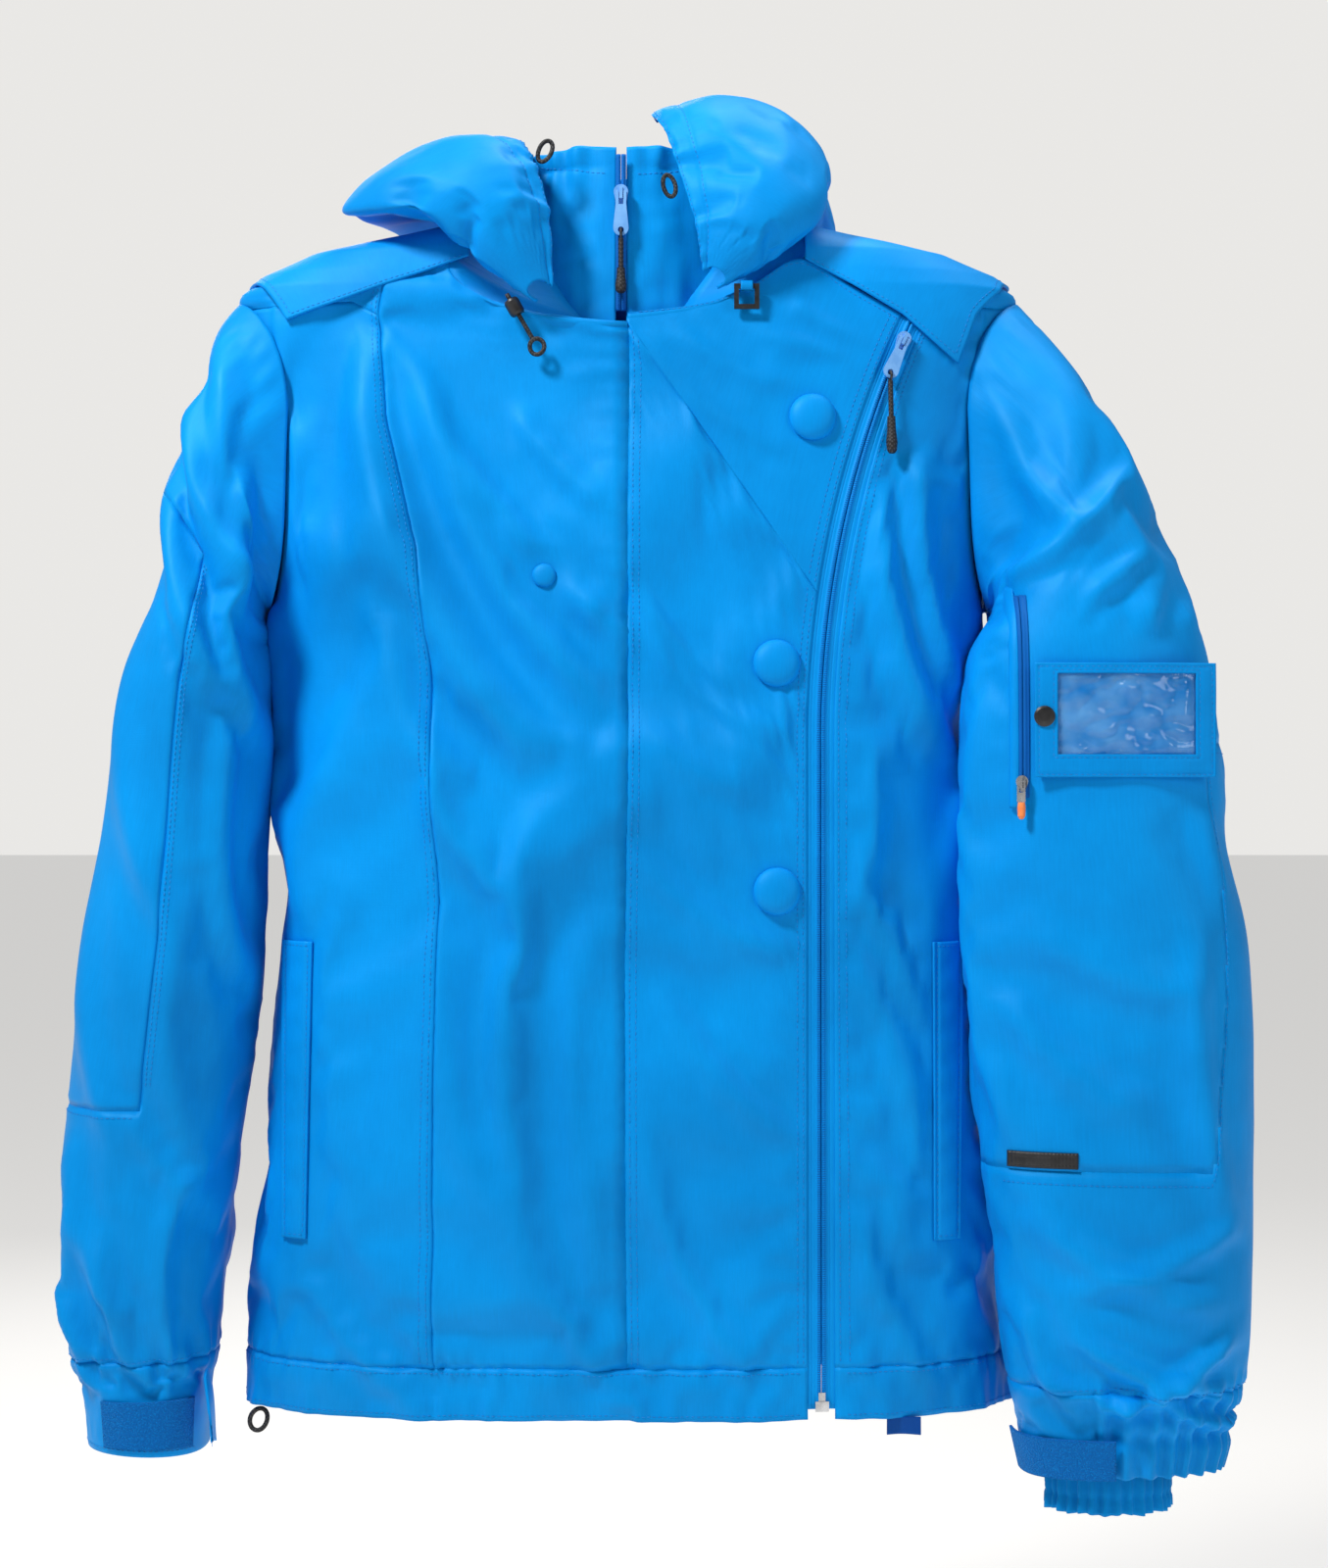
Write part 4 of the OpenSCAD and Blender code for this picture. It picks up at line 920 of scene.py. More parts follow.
def bare_sleeve(rings, side):
    """The sleeve's form; i counts 20 steps round from the inner side, j counts 15 rings down."""
    def surface(i, j):
        i, j = np.broadcast_arrays(np.asarray(i, float), np.asarray(j, float))
        ph = np.radians(180 + i * 18.0)
        k = np.clip(np.floor(j), 0, 14).astype(int)
        u = (j - k)[..., None]
        p, q, r, s = (ring(rings, side, np.clip(k + n, 0, 15), ph) for n in (-1, 0, 1, 2))
        return spline(p, q, r, s, u)

    return surface


def tube_facing(surface, i, j, e=0.15):
    round_it = surface(i + e, j) - surface(i - e, j)
    along = surface(i, np.minimum(j + e, 15)) - surface(i, np.maximum(j - e, 0))
    n = unit(np.cross(round_it, along))
    middle = surface(i * 0 + 5, j) * 0.5 + surface(i * 0 + 15, j) * 0.5
    turn = np.sign(np.sum(n * (surface(i, j) - middle), -1, keepdims=True))
    return n * np.where(turn == 0, 1, turn)


# %% Folds of the sleeves
LEFT_SLEEVE_FOLDS = [
    (208, -150, 236, -262, 12, 4.0), (222, -120, 262, -200, 12, 3.2), (216, -232, 290, -168, 10, 3.2),
    (212, -262, 300, -215, 9, 2.8), (205, -300, 226, -560, 12, 2.6), (300, -236, 338, -330, 12, 3.0),
    (330, -250, 348, -420, 10, 2.5), (214, -470, 300, -540, 14, 2.8), (230, -430, 330, -470, 16, 2.2),
    (330, -430, 350, -600, 12, 2.4), (236, -600, 340, -650, 13, 3.4), (258, -640, 352, -604, 9, 2.6),
    (262, -668, 350, -700, 9, 4.2), (276, -712, 352, -668, 8, 4.0), (232, -650, 262, -716, 9, 2.8),
    (296, -690, 356, -724, 7, 3.2), (240, -690, 300, -706, 7, 2.4), (285, -120, 318, -190, 12, 2.4),
]
RIGHT_SLEEVE_FOLDS = [
    (-240, -90, -222, -215, 11, 4.6), (-262, -110, -232, -230, 10, 4.0), (-228, -150, -220, -330, 8, 4.2),
    (-246, -170, -218, -262, 8, 3.4), (-280, -150, -236, -300, 12, 3.2), (-230, -300, -226, -470, 9, 3.0),
    (-300, -250, -270, -430, 14, 2.8), (-322, -390, -300, -560, 12, 2.4), (-262, -420, -250, -600, 14, 2.4),
    (-330, -560, -300, -660, 10, 2.8), (-326, -600, -318, -706, 7, 3.4), (-308, -610, -284, -704, 9, 3.0),
    (-262, -580, -268, -700, 9, 2.6), (-336, -640, -312, -690, 6, 2.2), (-290, -540, -256, -590, 9, 1.8),
]


# x and z limits in mm of the pass flap, the zip and the badge, and how far round them the cloth is stilled
LEFT_HELD = [(226, 346, -362, -262, 12), (226, 262, -362, -236, 12), (220, 263, -574, -558, 8)]


def sleeve_free(side, p, j):
    """The sleeve is held at its ends, and on the left also at the pass flap, the zip and the badge."""
    free = np.clip(j / 1.2, 0, 1) * np.clip((15 - j) / 1.5, 0.15, 1)
    if side > 0:
        for x0, x1, z0, z1, reach in LEFT_HELD:
            near = np.hypot(np.maximum(0, np.maximum(x0 - p[..., 0], p[..., 0] - x1)),
                np.maximum(0, np.maximum(z0 - p[..., 2], p[..., 2] - z1)))
            free = np.minimum(free, np.where(p[..., 1] < -70, np.clip(near / reach, 0, 1), 1))
    return free


def make_sleeve(name, rings, side, lines, grow):
    form = bare_sleeve(rings, side)
    ni, nj = 60, 84
    a, b = np.meshgrid(np.arange(ni + 1) * 20 / ni, np.arange(nj + 1) * 15 / nj, indexing="ij")
    base = form(a, b)
    n = tube_facing(form, a, b)
    free = sleeve_free(side, base, b)
    ahead = np.clip(-n[..., 1] * 1.6 + 0.2, 0, 1)
    rise = SLEEVE_FOLD_GAIN * ridge_sum(base[..., 0], base[..., 2], lines) * ahead
    mirrored = [(x0, z0 - 30, x1, z1 - 24, w * 1.2, h * 0.8) for x0, z0, x1, z1, w, h in lines]
    rise = rise + ridge_sum(base[..., 0], base[..., 2], mirrored) * np.clip(n[..., 1] * 1.6 + 0.1, 0, 1)
    rise = rise + 1.3 * ripple(base, 80, 11 + side) + 0.3 * ripple(base, 30, 15 + side)
    rest = base + n * (rise * free)[..., None]
    inner = np.minimum(a, 20 - a)
    held = np.maximum(np.clip(1 - free, 0, 1) * (free < 0.5), (inner < 0.05) * 0.9)
    held = np.where((b < 0.05) | (b > 14.95), 1.0, held)
    shift = crumple(name, rest, held, grow, most=9.0, bend=2.5) - base
    # the closing edge is one line of cloth
    shift[0] = shift[-1] = (shift[0] + shift[-1]) / 2

    def surface(i, j):
        turn = np.mod(np.asarray(i, float), 20.0)
        return form(i, j) + read_grid(shift, turn * ni / 20, np.asarray(j, float) * nj / 15)

    return form, surface


left_form, left_body = make_sleeve("left_sleeve", LEFT_RINGS, 1, LEFT_SLEEVE_FOLDS, 0.010)
right_form, right_body = make_sleeve("right_sleeve", RIGHT_RINGS, -1, RIGHT_SLEEVE_FOLDS, 0.010)
print("sleeve surfaces ready")


# %% Seams of the sleeves
def round_turn(i):
    """Steps from the outermost line of a sleeve, which is at i = 10."""
    return np.abs(np.mod(i, 20) - 10)


def left_lower_edge(i):
    """Ring at which the left sleeve's lower part begins: it climbs the outer side in a rounded corner."""
    d = round_turn(i)
    return np.where(d < 2, 6.0, np.where(d < 2.9, 6 + 4 * np.clip((d - 2) / 0.9, 0, 1) ** 0.35, 10.0))


def seam_cut(distance, wide=1.5, deep=0.9):
    return -deep * np.exp(-((distance / wide) ** 2)) + 0.3 * np.exp(-(((distance - 4) / 3) ** 2))


def left_sleeve_surface(i, j):
    p = left_body(i, j)
    n = tube_facing(left_form, i, j)
    d = np.abs(j - left_lower_edge(i)) * 42
    rise = seam_cut(np.minimum(d, 60))
    rise = rise + seam_cut(np.abs(j - 13) * 28, 1.6, 1.0)
    gather = np.clip((j - 12.6) / 0.5, 0, 1)
    ahead = (round_turn(i) < 6.2) * 1.0
    pleat = np.sin(i * 9.2 + 0.8 * np.sin(i * 2.3)) * 2.3 * gather * ahead
    pinch = -3.0 * np.exp(-(((j - 14.1) / 0.16) ** 2)) * ahead - 2.0 * np.exp(-(((j - 13.05) / 0.2) ** 2)) * ahead
    fade = np.clip((10 - round_turn(i)) / 0.8, 0, 1)
    return p + n * ((rise + pleat + pinch) * fade)[..., None]


def right_seam_distance(i, j):
    """Millimetres from the elbow panel's seam, a vertical line that turns under in a rounded corner."""
    d = np.mod(i, 20)
    side_line = np.abs(d - 5.0) * 21
    low_line = np.abs(j - 10) * 50
    inside_rows = (j > 3) & (j < 10.02)
    inside_turn = (d > 4.95) & (d < 14.2)
    return np.minimum(np.where(inside_rows, side_line, 99), np.where(inside_turn, low_line, 99))


def right_sleeve_surface(i, j):
    p = right_body(i, j)
    n = tube_facing(right_form, i, j)
    rise = seam_cut(right_seam_distance(i, j)) + seam_cut(np.abs(j - 13) * 30, 1.6, 1.0)
    gather = np.clip((j - 12.3) / 0.6, 0, 1) * np.clip((13.9 - j) / 0.6, 0, 1)
    pleat = np.sin(i * 6.1 + 1.1 * np.sin(i * 1.9)) * 1.3 * gather
    fade = np.clip((10 - round_turn(i)) / 0.8, 0, 1)
    return p + n * ((rise + pleat) * fade)[..., None]


# %% Cut the sleeves into their pieces
def sleeve_piece(name, surface, keep, nodes, j0, j1, along):
    bm = panel_mesh(surface, 0, 20, j0, j1, 160, along, 0.0, lambda i, j: not keep(i, j), True, (0.02, 0.045))
    bmesh.ops.recalc_face_normals(bm, faces=bm.faces)
    centre = sum((f.calc_center_median() for f in bm.faces), Vector()) / len(bm.faces)
    votes = 0.0
    for f in bm.faces:
        middle = f.calc_center_median()
        away = f.normal.dot(middle - Vector((centre.x, centre.y, middle.z))) > 0
        votes += f.calc_area() * (1 if away else -1)
    if votes < 0:
        bmesh.ops.reverse_faces(bm, faces=bm.faces)
    piece = finish_piece(name, bm, SHELL_BLUE, nodes, thick=0.0013)
    return piece


sleeve_piece("left_sleeve_cloth", left_sleeve_surface, lambda i, j: j < float(left_lower_edge(i)),
    ["left_sleeve"], 0, 13, 150)
sleeve_piece("left_lower_sleeve_cloth", left_sleeve_surface, lambda i, j: j >= float(left_lower_edge(i)),
    ["left_lower_sleeve"], 0, 13, 150)
sleeve_piece("left_cuff_cloth", left_sleeve_surface, lambda i, j: True, ["left_cuff"], 13, 15, 26)


def elbow(i, j):
    return 3 <= j < 10 and 5 <= i < 14


sleeve_piece("right_sleeve_cloth", right_sleeve_surface, lambda i, j: not elbow(i, j), ["right_sleeve"], 0, 13, 156)
sleeve_piece("right_elbow_cloth", right_sleeve_surface, elbow, ["right_elbow_panel"], 0, 13, 156)
sleeve_piece("right_cuff_cloth", right_sleeve_surface, lambda i, j: True, ["right_cuff"], 13, 15, 26)
print("sleeves cut")

# %% [markdown]
# ## Collar
#
# The stand-up collar is gathered: its top and bottom are drawn in, so soft puckers run up and down it.
# It is one surface in two halves that meet at the back, and the small zip closes it in front.

# %% The gathered collar
def collar(i, j):
    th = np.radians(-90.6 + 355 * i / 28)
    f = np.maximum(0, -np.sin(th))
    low = -8 + (-90 + 8) * f**3
    z = low + (36 - low) * j / 5
    w = 1.05 - 0.08 * (z + 92) / 128
    p = np.stack([72 * w * np.cos(th), 48 * w * np.sin(th), z], -1)
    n = unit(np.stack([np.cos(th) / 72, np.sin(th) / 48, 0 * th], -1))
    free = np.clip(np.minimum(i, 28 - i) / 1.3, 0, 1)
    arc = i * 13.0
    top = np.exp(-(((36 - z) / 20) ** 2))
    foot = np.exp(-(((z - low) / 22) ** 2))
    pucker = (1.5 * np.sin(arc / 2.6 + 1.6 * np.sin(arc / 13)) * (0.25 + 0.75 * top)
        + 1.5 * np.sin(arc / 4.3 + z / 15) * foot + 1.6 * ripple(p * np.array([1.0, 1.0, 0.35]), 11, 21)
        + 1.2 * ripple(p * np.array([1.0, 1.0, 2.2]), 24, 22))
    channel = -0.9 * np.exp(-(((z - 24) / 1.6) ** 2)) + 0.9 * np.exp(-(((z - 31) / 5) ** 2))
    lift = 1.4 * np.sin(arc / 9.0 + 0.5) * np.exp(-(((36 - z) / 9) ** 2))
    return p + n * ((pucker + channel) * free)[..., None] + np.stack([0 * z, 0 * z, lift * free - 0.6], -1)


for name, i0, i1 in (("collar_left_half", 0, 14), ("collar_right_half", 14, 28)):
    bm = panel_mesh(collar, i0, i1, 0, 5, 150, 56, 0.0, uv=(0.013, 0.02))
    piece = finish_piece(name + "_cloth", bm, SHELL_BLUE, [name], thick=0.0018)
print("collar made")

# %% The neck seam, where the collar is sewn to the shell
def neck_join(i, j):
    """From the shell's top edge (j = 0) in to the foot of the collar (j = 1)."""
    th = column_angle(i, np.full_like(i, -30.0))
    outer = body(i, 25.0 + 0 * i)
    inner = collar((th + 90.6) / 355 * 28, 0.35 + 0 * i)
    sag = -5.0 * np.sin(np.pi * j) * (outer[..., 1] < 0)
    return outer + (inner - outer) * j[..., None] + np.stack([0 * j, 0 * j, sag - 0.8], -1)


def neck_join_front(i, j):
    """The same seam along the top of the lapel."""
    outer = lapel(3.1 * i, 6.0 + 0 * i)
    inner = collar(0.25 + 1.75 * i, 0.35 + 0 * i)
    return outer + (inner - outer) * j[..., None] + np.stack([0 * j, 0 * j, -4.0 * np.sin(np.pi * j) - 0.8], -1)


piece = finish_piece("neck_seam_band", panel_mesh(neck_join, 0, 42, 0, 1, 200, 10, 0.0, uv=(0.015, 0.04)), SHELL_BLUE,
    thick=0.0012)
piece = finish_piece("neck_seam_band_front", panel_mesh(neck_join_front, 0, 1, 0, 1, 40, 10, 0.0, uv=(0.1,
    0.04)), SHELL_BLUE,
    thick=0.0012)

# %% [markdown]
# ## Hood
#
# The hood is laid back behind the neck and its two front wings stand up beside the collar. Each row of
# the net below is one station round the neck, with six points from the neck seam out to the brim.
# The brim has a stitched channel for its cord, and two long seams run over the crown.

# %% The lying hood
HOOD_NET = np.array([
    [[54, -62, -53], [57, -66, -51], [58, -68, -47], [55, -70, -43], [50, -69, -41], [45, -66, -43]],
    [[76, -62, -42], [82, -69, -37], [82, -76, -28], [72, -78, -19], [56, -75, -14], [40, -68, -16]],
    [[100, -57, -24], [112, -63, -14], [108, -68, 0], [88, -72, 14], [58, -69, 20], [31, -60, 18]],
    [[104, -31, -4], [121, -32, 9], [117, -36, 28], [92, -44, 48], [54, -48, 55], [22, -46, 46]],
    [[99, 8, 3], [118, 10, 15], [118, 6, 36], [94, 0, 62], [54, -6, 73], [16, -8, 62]],
    [[80, 46, 2], [112, 66, 0], [128, 86, -16], [120, 92, 20], [84, 74, 58], [40, 50, 58]],
    [[46, 60, 4], [74, 88, -70], [88, 112, -150], [84, 150, -130], [70, 142, -30], [36, 96, 44]],
    [[0, 62, 4], [0, 94, -86], [0, 112, -182], [0, 166, -180], [0, 166, -60], [0, 112, 34]],
    [[-46, 60, 4], [-74, 88, -70], [-88, 112, -150], [-84, 150, -130], [-74, 138, -30], [-44, 92, 34]],
    [[-80, 46, 2], [-116, 66, 0], [-134, 84, -14], [-138, 84, 12], [-104, 64, 40], [-58, 44, 46]],
    [[-99, 8, 3], [-134, 6, 6], [-164, 2, 3], [-152, -2, 24], [-108, -6, 46], [-62, -6, 42]],
    [[-106, -31, -3], [-140, -36, -1], [-168, -40, 0], [-146, -48, 20], [-104, -52, 40], [-62, -50, 36]],
    [[-100, -60, -21], [-117, -68, -17], [-128, -76, -8], [-106, -80, 10], [-76, -76, 20], [-54, -66, 18]],
    [[-78, -66, -44], [-86, -76, -40], [-88, -84, -28], [-76, -86, -16], [-60, -80, -10], [-46, -70, -14]],
    [[-54, -68, -62], [-57, -73, -61], [-59, -76, -56], [-55, -77, -51], [-49, -75, -50], [-44, -71, -53]]], float)


def bare_hood(i, j):
    """The hood's form: i counts 14 stations from left to right, j runs 0 to 5 from seam to brim."""
    i, j = np.broadcast_arrays(np.clip(np.asarray(i, float), 0, 14), np.clip(np.asarray(j, float), 0, 5))
    shape = i.shape
    i, j = i.ravel(), j.ravel()
    k = np.clip(np.floor(i), 0, 13).astype(int)
    rows = []
    for n in (-1, 0, 1, 2):
        station = HOOD_NET[np.clip(k + n, 0, 14)]
        c = np.clip(np.floor(j), 0, 4).astype(int)
        u = (j - c)[:, None]
        pick = [station[np.arange(len(j)), np.clip(c + m, 0, 5)] for m in (-1, 0, 1, 2)]
        rows.append(spline(*pick, u))
    u = (i - k)[:, None]
    p = spline(*rows, u)
    return p.reshape(*shape, 3)


def hood_facing(i, j):
    return facing(bare_hood, i, j, 0.1, (0, 0), (14, 5))


hi, hj = 84, 45
hood_i, hood_j = np.meshgrid(np.arange(hi + 1) * 14 / hi, np.arange(hj + 1) * 5 / hj, indexing="ij")
hood_form = bare_hood(hood_i, hood_j)
hood_free = np.clip(hood_j / 0.8, 0, 1)
hood_wing = np.clip(np.minimum(hood_i, 14 - hood_i) / 1.2, 0, 1)
hood_rise = (2.6 * ripple(hood_form, 46, 31) + 1.2 * ripple(hood_form, 22, 32)) * hood_free * hood_wing
hood_rest = hood_form + hood_facing(hood_i, hood_j) * hood_rise[..., None]
hood_held = np.maximum(1 - hood_free, (hood_j > 4.95) * 0.6)
hood_held = np.maximum(hood_held, 1 - hood_wing)
HOOD_SHIFT = crumple("hood", hood_rest, hood_held, 0.03, frames=16, most=7.0, bend=1.0) - hood_form


def hood(i, j):
    p = bare_hood(i, j) + read_grid(HOOD_SHIFT, i * hi / 14, j * hj / 5)
    n = hood_facing(i, j)
    rise = np.zeros_like(i)
    for seam in (5.2, 8.8):
        rise += -0.9 * np.exp(-(((i - seam) * 30 / 1.5) ** 2)) * (j > 0.3)
    brim = (5 - j) * 34
    rise += -0.9 * np.exp(-(((brim - 17) / 1.5) ** 2)) + 0.8 * np.exp(-(((brim - 7) / 5) ** 2))
    rise += 0.55 * np.sin(i * 17.0 + 1.5 * np.sin(i * 3)) * np.exp(-((brim / 16) ** 2))
    return p + n * rise[..., None]


piece = finish_piece("hood_cloth", panel_mesh(hood, 0, 14, 0, 5, 230, 90, 0.2, uv=(0.055, 0.04)), SHELL_BLUE,
    ["hood"], thick=0.002)
print("hood made,", len(piece.data.polygons), "faces")


# %% Hanger loop, wrist gaiters and cuff pieces
def loop_band(i, j):
    """A flat band along a rounded slot: i runs round the slot, j across the band."""
    half, r = 19.0, 6.1
    total = 4 * half + 2 * np.pi * r
    s = np.mod(i, 1.0) * total
    straight = 2 * half
    bend = np.pi * r
    x = np.where(s < straight, -half + s, np.where(s < straight + bend, half + r * np.sin((s - straight) / r),
        np.where(s < 2 * straight + bend, half - (s - straight - bend),
            -half - r * np.sin((s - 2 * straight - bend) / r))))
    z = np.where(s < straight, r, np.where(s < straight + bend, r * np.cos((s - straight) / r),
        np.where(s < 2 * straight + bend, -r, -r * np.cos((s - 2 * straight - bend) / r))))
    return np.stack([x, 39.2 + 2.2 * j, -4 + z + 0.3 * np.sin(s / 5)], -1)


bm = panel_mesh(loop_band, 0, 1, 0, 1, 72, 4, 0.0, weld=True, uv=(0.11, 0.01))
bmesh.ops.recalc_face_normals(bm, faces=bm.faces)
finish_piece("hanger_loop_band", bm, LINING_BLUE, ["hang_loop"], thick=0.0016, offset=0.0)


def gaiter(side, cx, cy, top, bottom, rx, ry):
    def surface(i, j):
        ph = np.radians(i * 18.0)
        pleat = 1.0 + (0.045 * np.sin(i * 9.4) + 0.02 * np.sin(i * 4.1)) * (0.3 + j / 3)
        hem = -0.03 * np.exp(-(((j - 2.55) / 0.08) ** 2))
        return np.stack([side * (cx + rx * (pleat + hem) * np.cos(ph)), cy - side * ry * (pleat + hem) * np.sin(ph),
            top + (bottom - top) * j / 3 + 0.6 * np.sin(i * 3.1) * (j > 2.9)], -1)

    return surface


for name, side, values in (("left_cuff_gaiter", 1, (286, -64, -715, -777, 36, 25)),
        ("right_cuff_gaiter", -1, (291, -30, -700, -744, 26, 34))):
    bm = panel_mesh(gaiter(side, *values), 0, 20, 0, 3, 180, 30, 0.0, weld=True, uv=(0.01, 0.02))
    bmesh.ops.recalc_face_normals(bm, faces=bm.faces)
    finish_piece(name + "_cloth", bm, KNIT_BLUE, [name], thick=0.0014)


def ring_patch(form, k0, k1, a0, a1, lift, curl=0.0):
    """A patch lying on a sleeve between two rings and two angles, in degrees from the outer line."""
    def place(i, j):
        a, k = a0 + (a1 - a0) * i, k0 + (k1 - k0) * j
        turn = np.mod(a / 18.0 + 10, 20)
        n = tube_facing(form, turn, k)
        return form(turn, k) + n * (lift + curl * np.clip(i - 0.75, 0, 1) ** 2 * 40)[..., None]

    return place


bm = panel_mesh(ring_patch(left_form, 14.05, 14.97, 100, 186, 2.4, 0.5), 0, 1, 0, 1, 44, 18, 0.3, uv=(0.07, 0.03))
bmesh.ops.recalc_face_normals(bm, faces=bm.faces)
LEFT_TAB = bm


def outward(bm, centre):
    """Turn an open patch so that its faces look away from a point, given in millimetres."""
    start = Vector(centre) * MM
    votes = sum(f.calc_area() * f.normal.dot((f.calc_center_median() - start).normalized()) for f in bm.faces)
    if votes < 0:
        bmesh.ops.reverse_faces(bm, faces=bm.faces)
    return bm


piece = finish_piece("left_cuff_tab_cloth", outward(LEFT_TAB, (290, -64, -745)), LOOP_PILE,
    ["left_cuff_tab"], ride="left_cuff_tab", thick=0.0016, offset=1.0)
patch = panel_mesh(ring_patch(right_form, 14.02, 14.8, 215, 300, 1.6), 0, 1, 0, 1, 50, 18, 0.3, uv=(0.07, 0.03))
patch.normal_update()
piece = finish_piece("right_loop_patch_pile", outward(patch, (-290, -30, -730)), LOOP_PILE,
    ["right_loop_patch"], thick=0.0012, offset=1.0)


def hanging_tab(i, j):
    y = -64 + (16 + 5 * j) * (i - 0.5) - 4 - 4 * j
    z = -700 - 40 * j + 3 * np.sin(i * 3)
    x = -251 + 6.5 * j + 1.2 * np.sin(j * 4 + i) * j
    return np.stack([x, np.clip(y + 8 * (1 - j), -75, -48.5), z], -1)


bm = panel_mesh(hanging_tab, 0, 1, 0, 1, 16, 30, 0.3, uv=(0.02, 0.04))
piece = finish_piece("right_cuff_tab_cloth", bm, SHELL_BLUE, ["right_cuff_tab"],
    ride="right_cuff_tab",
    thick=0.0016, offset=0.0)
print("cuff pieces made")

# %% [markdown]
# ## Zips
#
# The long zip is a reverse coil: the coil is behind the tape, so from outside one sees two smooth
# ridges that meet in a groove, with a fine rib where each turn of the coil lies. The tape's two
# halves are narrow strips on the body's surface. The ribs are one small rounded bar, repeated.

# %% Repeat one small shape along a line
def small_bar(length, wide, high):
    bm = bmesh.new()
    bmesh.ops.create_icosphere(bm, subdivisions=1, radius=0.5)
    bmesh.ops.scale(bm, vec=(length, wide, high), verts=bm.verts)
    mesh = bpy.data.meshes.new("small_bar")
    bm.to_mesh(mesh)
    bm.free()
    return mesh


def frames_along(points, normals, pitch):
    """Places every pitch millimetres along a line of points: (point, forward, normal)."""
    steps = np.linalg.norm(np.diff(points, axis=0), axis=1)
    total = np.concatenate([[0], np.cumsum(steps)])
    count = max(1, int(total[-1] / pitch))
    at = (np.arange(count) + 0.5) * total[-1] / count
    p = np.stack([np.interp(at, total, points[:, c]) for c in range(3)], -1)
    n = unit(np.stack([np.interp(at, total, normals[:, c]) for c in range(3)], -1))
    ahead = np.stack([np.interp(np.minimum(at + 0.5, total[-1]), total, points[:, c]) for c in range(3)], -1)
    back = np.stack([np.interp(np.maximum(at - 0.5, 0), total, points[:, c]) for c in range(3)], -1)
    f = unit(ahead - back)
    return list(zip(p, f, n))


def repeat_bars(name, bar, places, material, ride=SHELL, crosswise=False):
    bm = bmesh.new()
    for p, f, n in places:
        f, n = Vector(f), Vector(n)
        n = (n - f * n.dot(f)).normalized()
        s = n.cross(f)
        x, y = (s, -f) if crosswise else (f, s)
        turn = Matrix((x, y, n)).transposed().to_4x4()
        turn.translation = Vector(p) * MM
        copy = bar.copy()
        copy.transform(turn)
        bm.from_mesh(copy)
        bpy.data.meshes.remove(copy)
    for face in bm.faces:
        face.smooth = True
    return finish_piece(name, bm, material, ride=ride)


# %% The slanting front zip
def zip_strip(inner, outer, low, high, ridge):
    """Half of the zip: u runs from the groove out to the tape's edge."""
    def surface(i, j):
        z = low + (high - low) * j
        x = zip_x(z) + inner + (outer - inner) * i
        d = np.abs(inner + (outer - inner) * i)
        hump = ridge * np.exp(-(((d - 1.5) / 1.25) ** 2)) - 0.5 * np.exp(-((d / 0.35) ** 2))
        hump = hump - 0.35 * np.exp(-(((d - 5.4) / 0.4) ** 2))
        return front_at(x, z) + front_normal(x, z) * (hump - 0.5)[..., None]

    return surface


for name, inner, outer, high in (("zip_tape_left", 0.08, 8.6, -61), ("zip_tape_right", -8.6, -0.08, -66)):
    bm = panel_mesh(zip_strip(inner, outer, -714, high, 1.0), 0, 1, 0, 1, 26, 180, 0.0, uv=(0.0085, 0.65))
    finish_piece(name + "_webbing", bm, SHELL_BLUE, [name], thick=0.0009)
rib = small_bar(0.0026, 0.0007, 0.0006)
zs = np.linspace(-706, -92, 400)
for side in (-1, 1):
    line = front_at(zip_x(zs) + side * 1.5, zs) + front_normal(zip_x(zs), zs) * 0.42
    repeat_bars("zip_ribs_" + ("left" if side > 0 else "right"), rib,
        frames_along(line, front_normal(zip_x(zs), zs), 1.3), TAPE_BLUE, crosswise=True)
print("front zip made")


# %% Collar zip and sleeve zip
def collar_tape(side):
    def surface(i, j):
        z = -64 + 94 * j
        x = -4 + side * (0.1 + 3.0 * i)
        d = 0.1 + 3.0 * i
        hump = 0.9 * np.exp(-(((d - 1.4) / 0.9) ** 2))
        return np.stack([x, -51.0 - hump + 0 * z, z], -1)

    return surface


bm = panel_mesh(collar_tape(1), 0, 1, 0, 1, 12, 60, 0.0, uv=(0.003, 0.094))
other = panel_mesh(collar_tape(-1), 0, 1, 0, 1, 12, 60, 0.0, uv=(0.003, 0.094))
bmesh.ops.reverse_faces(other, faces=other.faces)
for half, label in ((bm, "left"), (other, "right")):
    finish_piece("collar_zip_" + label, half, TAPE_BLUE, ["collar_zip_chain"], thick=0.0008)
tooth = small_bar(0.0024, 0.0008, 0.0007)
zs = np.linspace(-62, -12, 60)
for side in (-1, 1):
    line = np.stack([-4 + side * 1.35 + 0 * zs, -52.1 + 0 * zs, zs], -1)
    repeat_bars("collar_teeth_" + ("left" if side > 0 else "right"), tooth,
        frames_along(line, np.tile([0.0, -1.0, 0.0], (60, 1)), 1.25), TAPE_BLUE, crosswise=True)


def sleeve_ring_at(x, z):
    """Ring number at which the front of the left sleeve passes through x and z."""
    low, high = np.full_like(x, 1.5), np.full_like(x, 14.9)
    for _ in range(26):
        mid = (low + high) / 2
        r = catmull(LEFT_RINGS, mid - 1)
        q = (2 * x - r[..., 0] - r[..., 2]) / (r[..., 2] - r[..., 0])
        height = (r[..., 1] + r[..., 3]) / 2 + (r[..., 3] - r[..., 1]) / 2 * q
        low, high = np.where(height > z, mid, low), np.where(height > z, high, mid)
    return (low + high) / 2


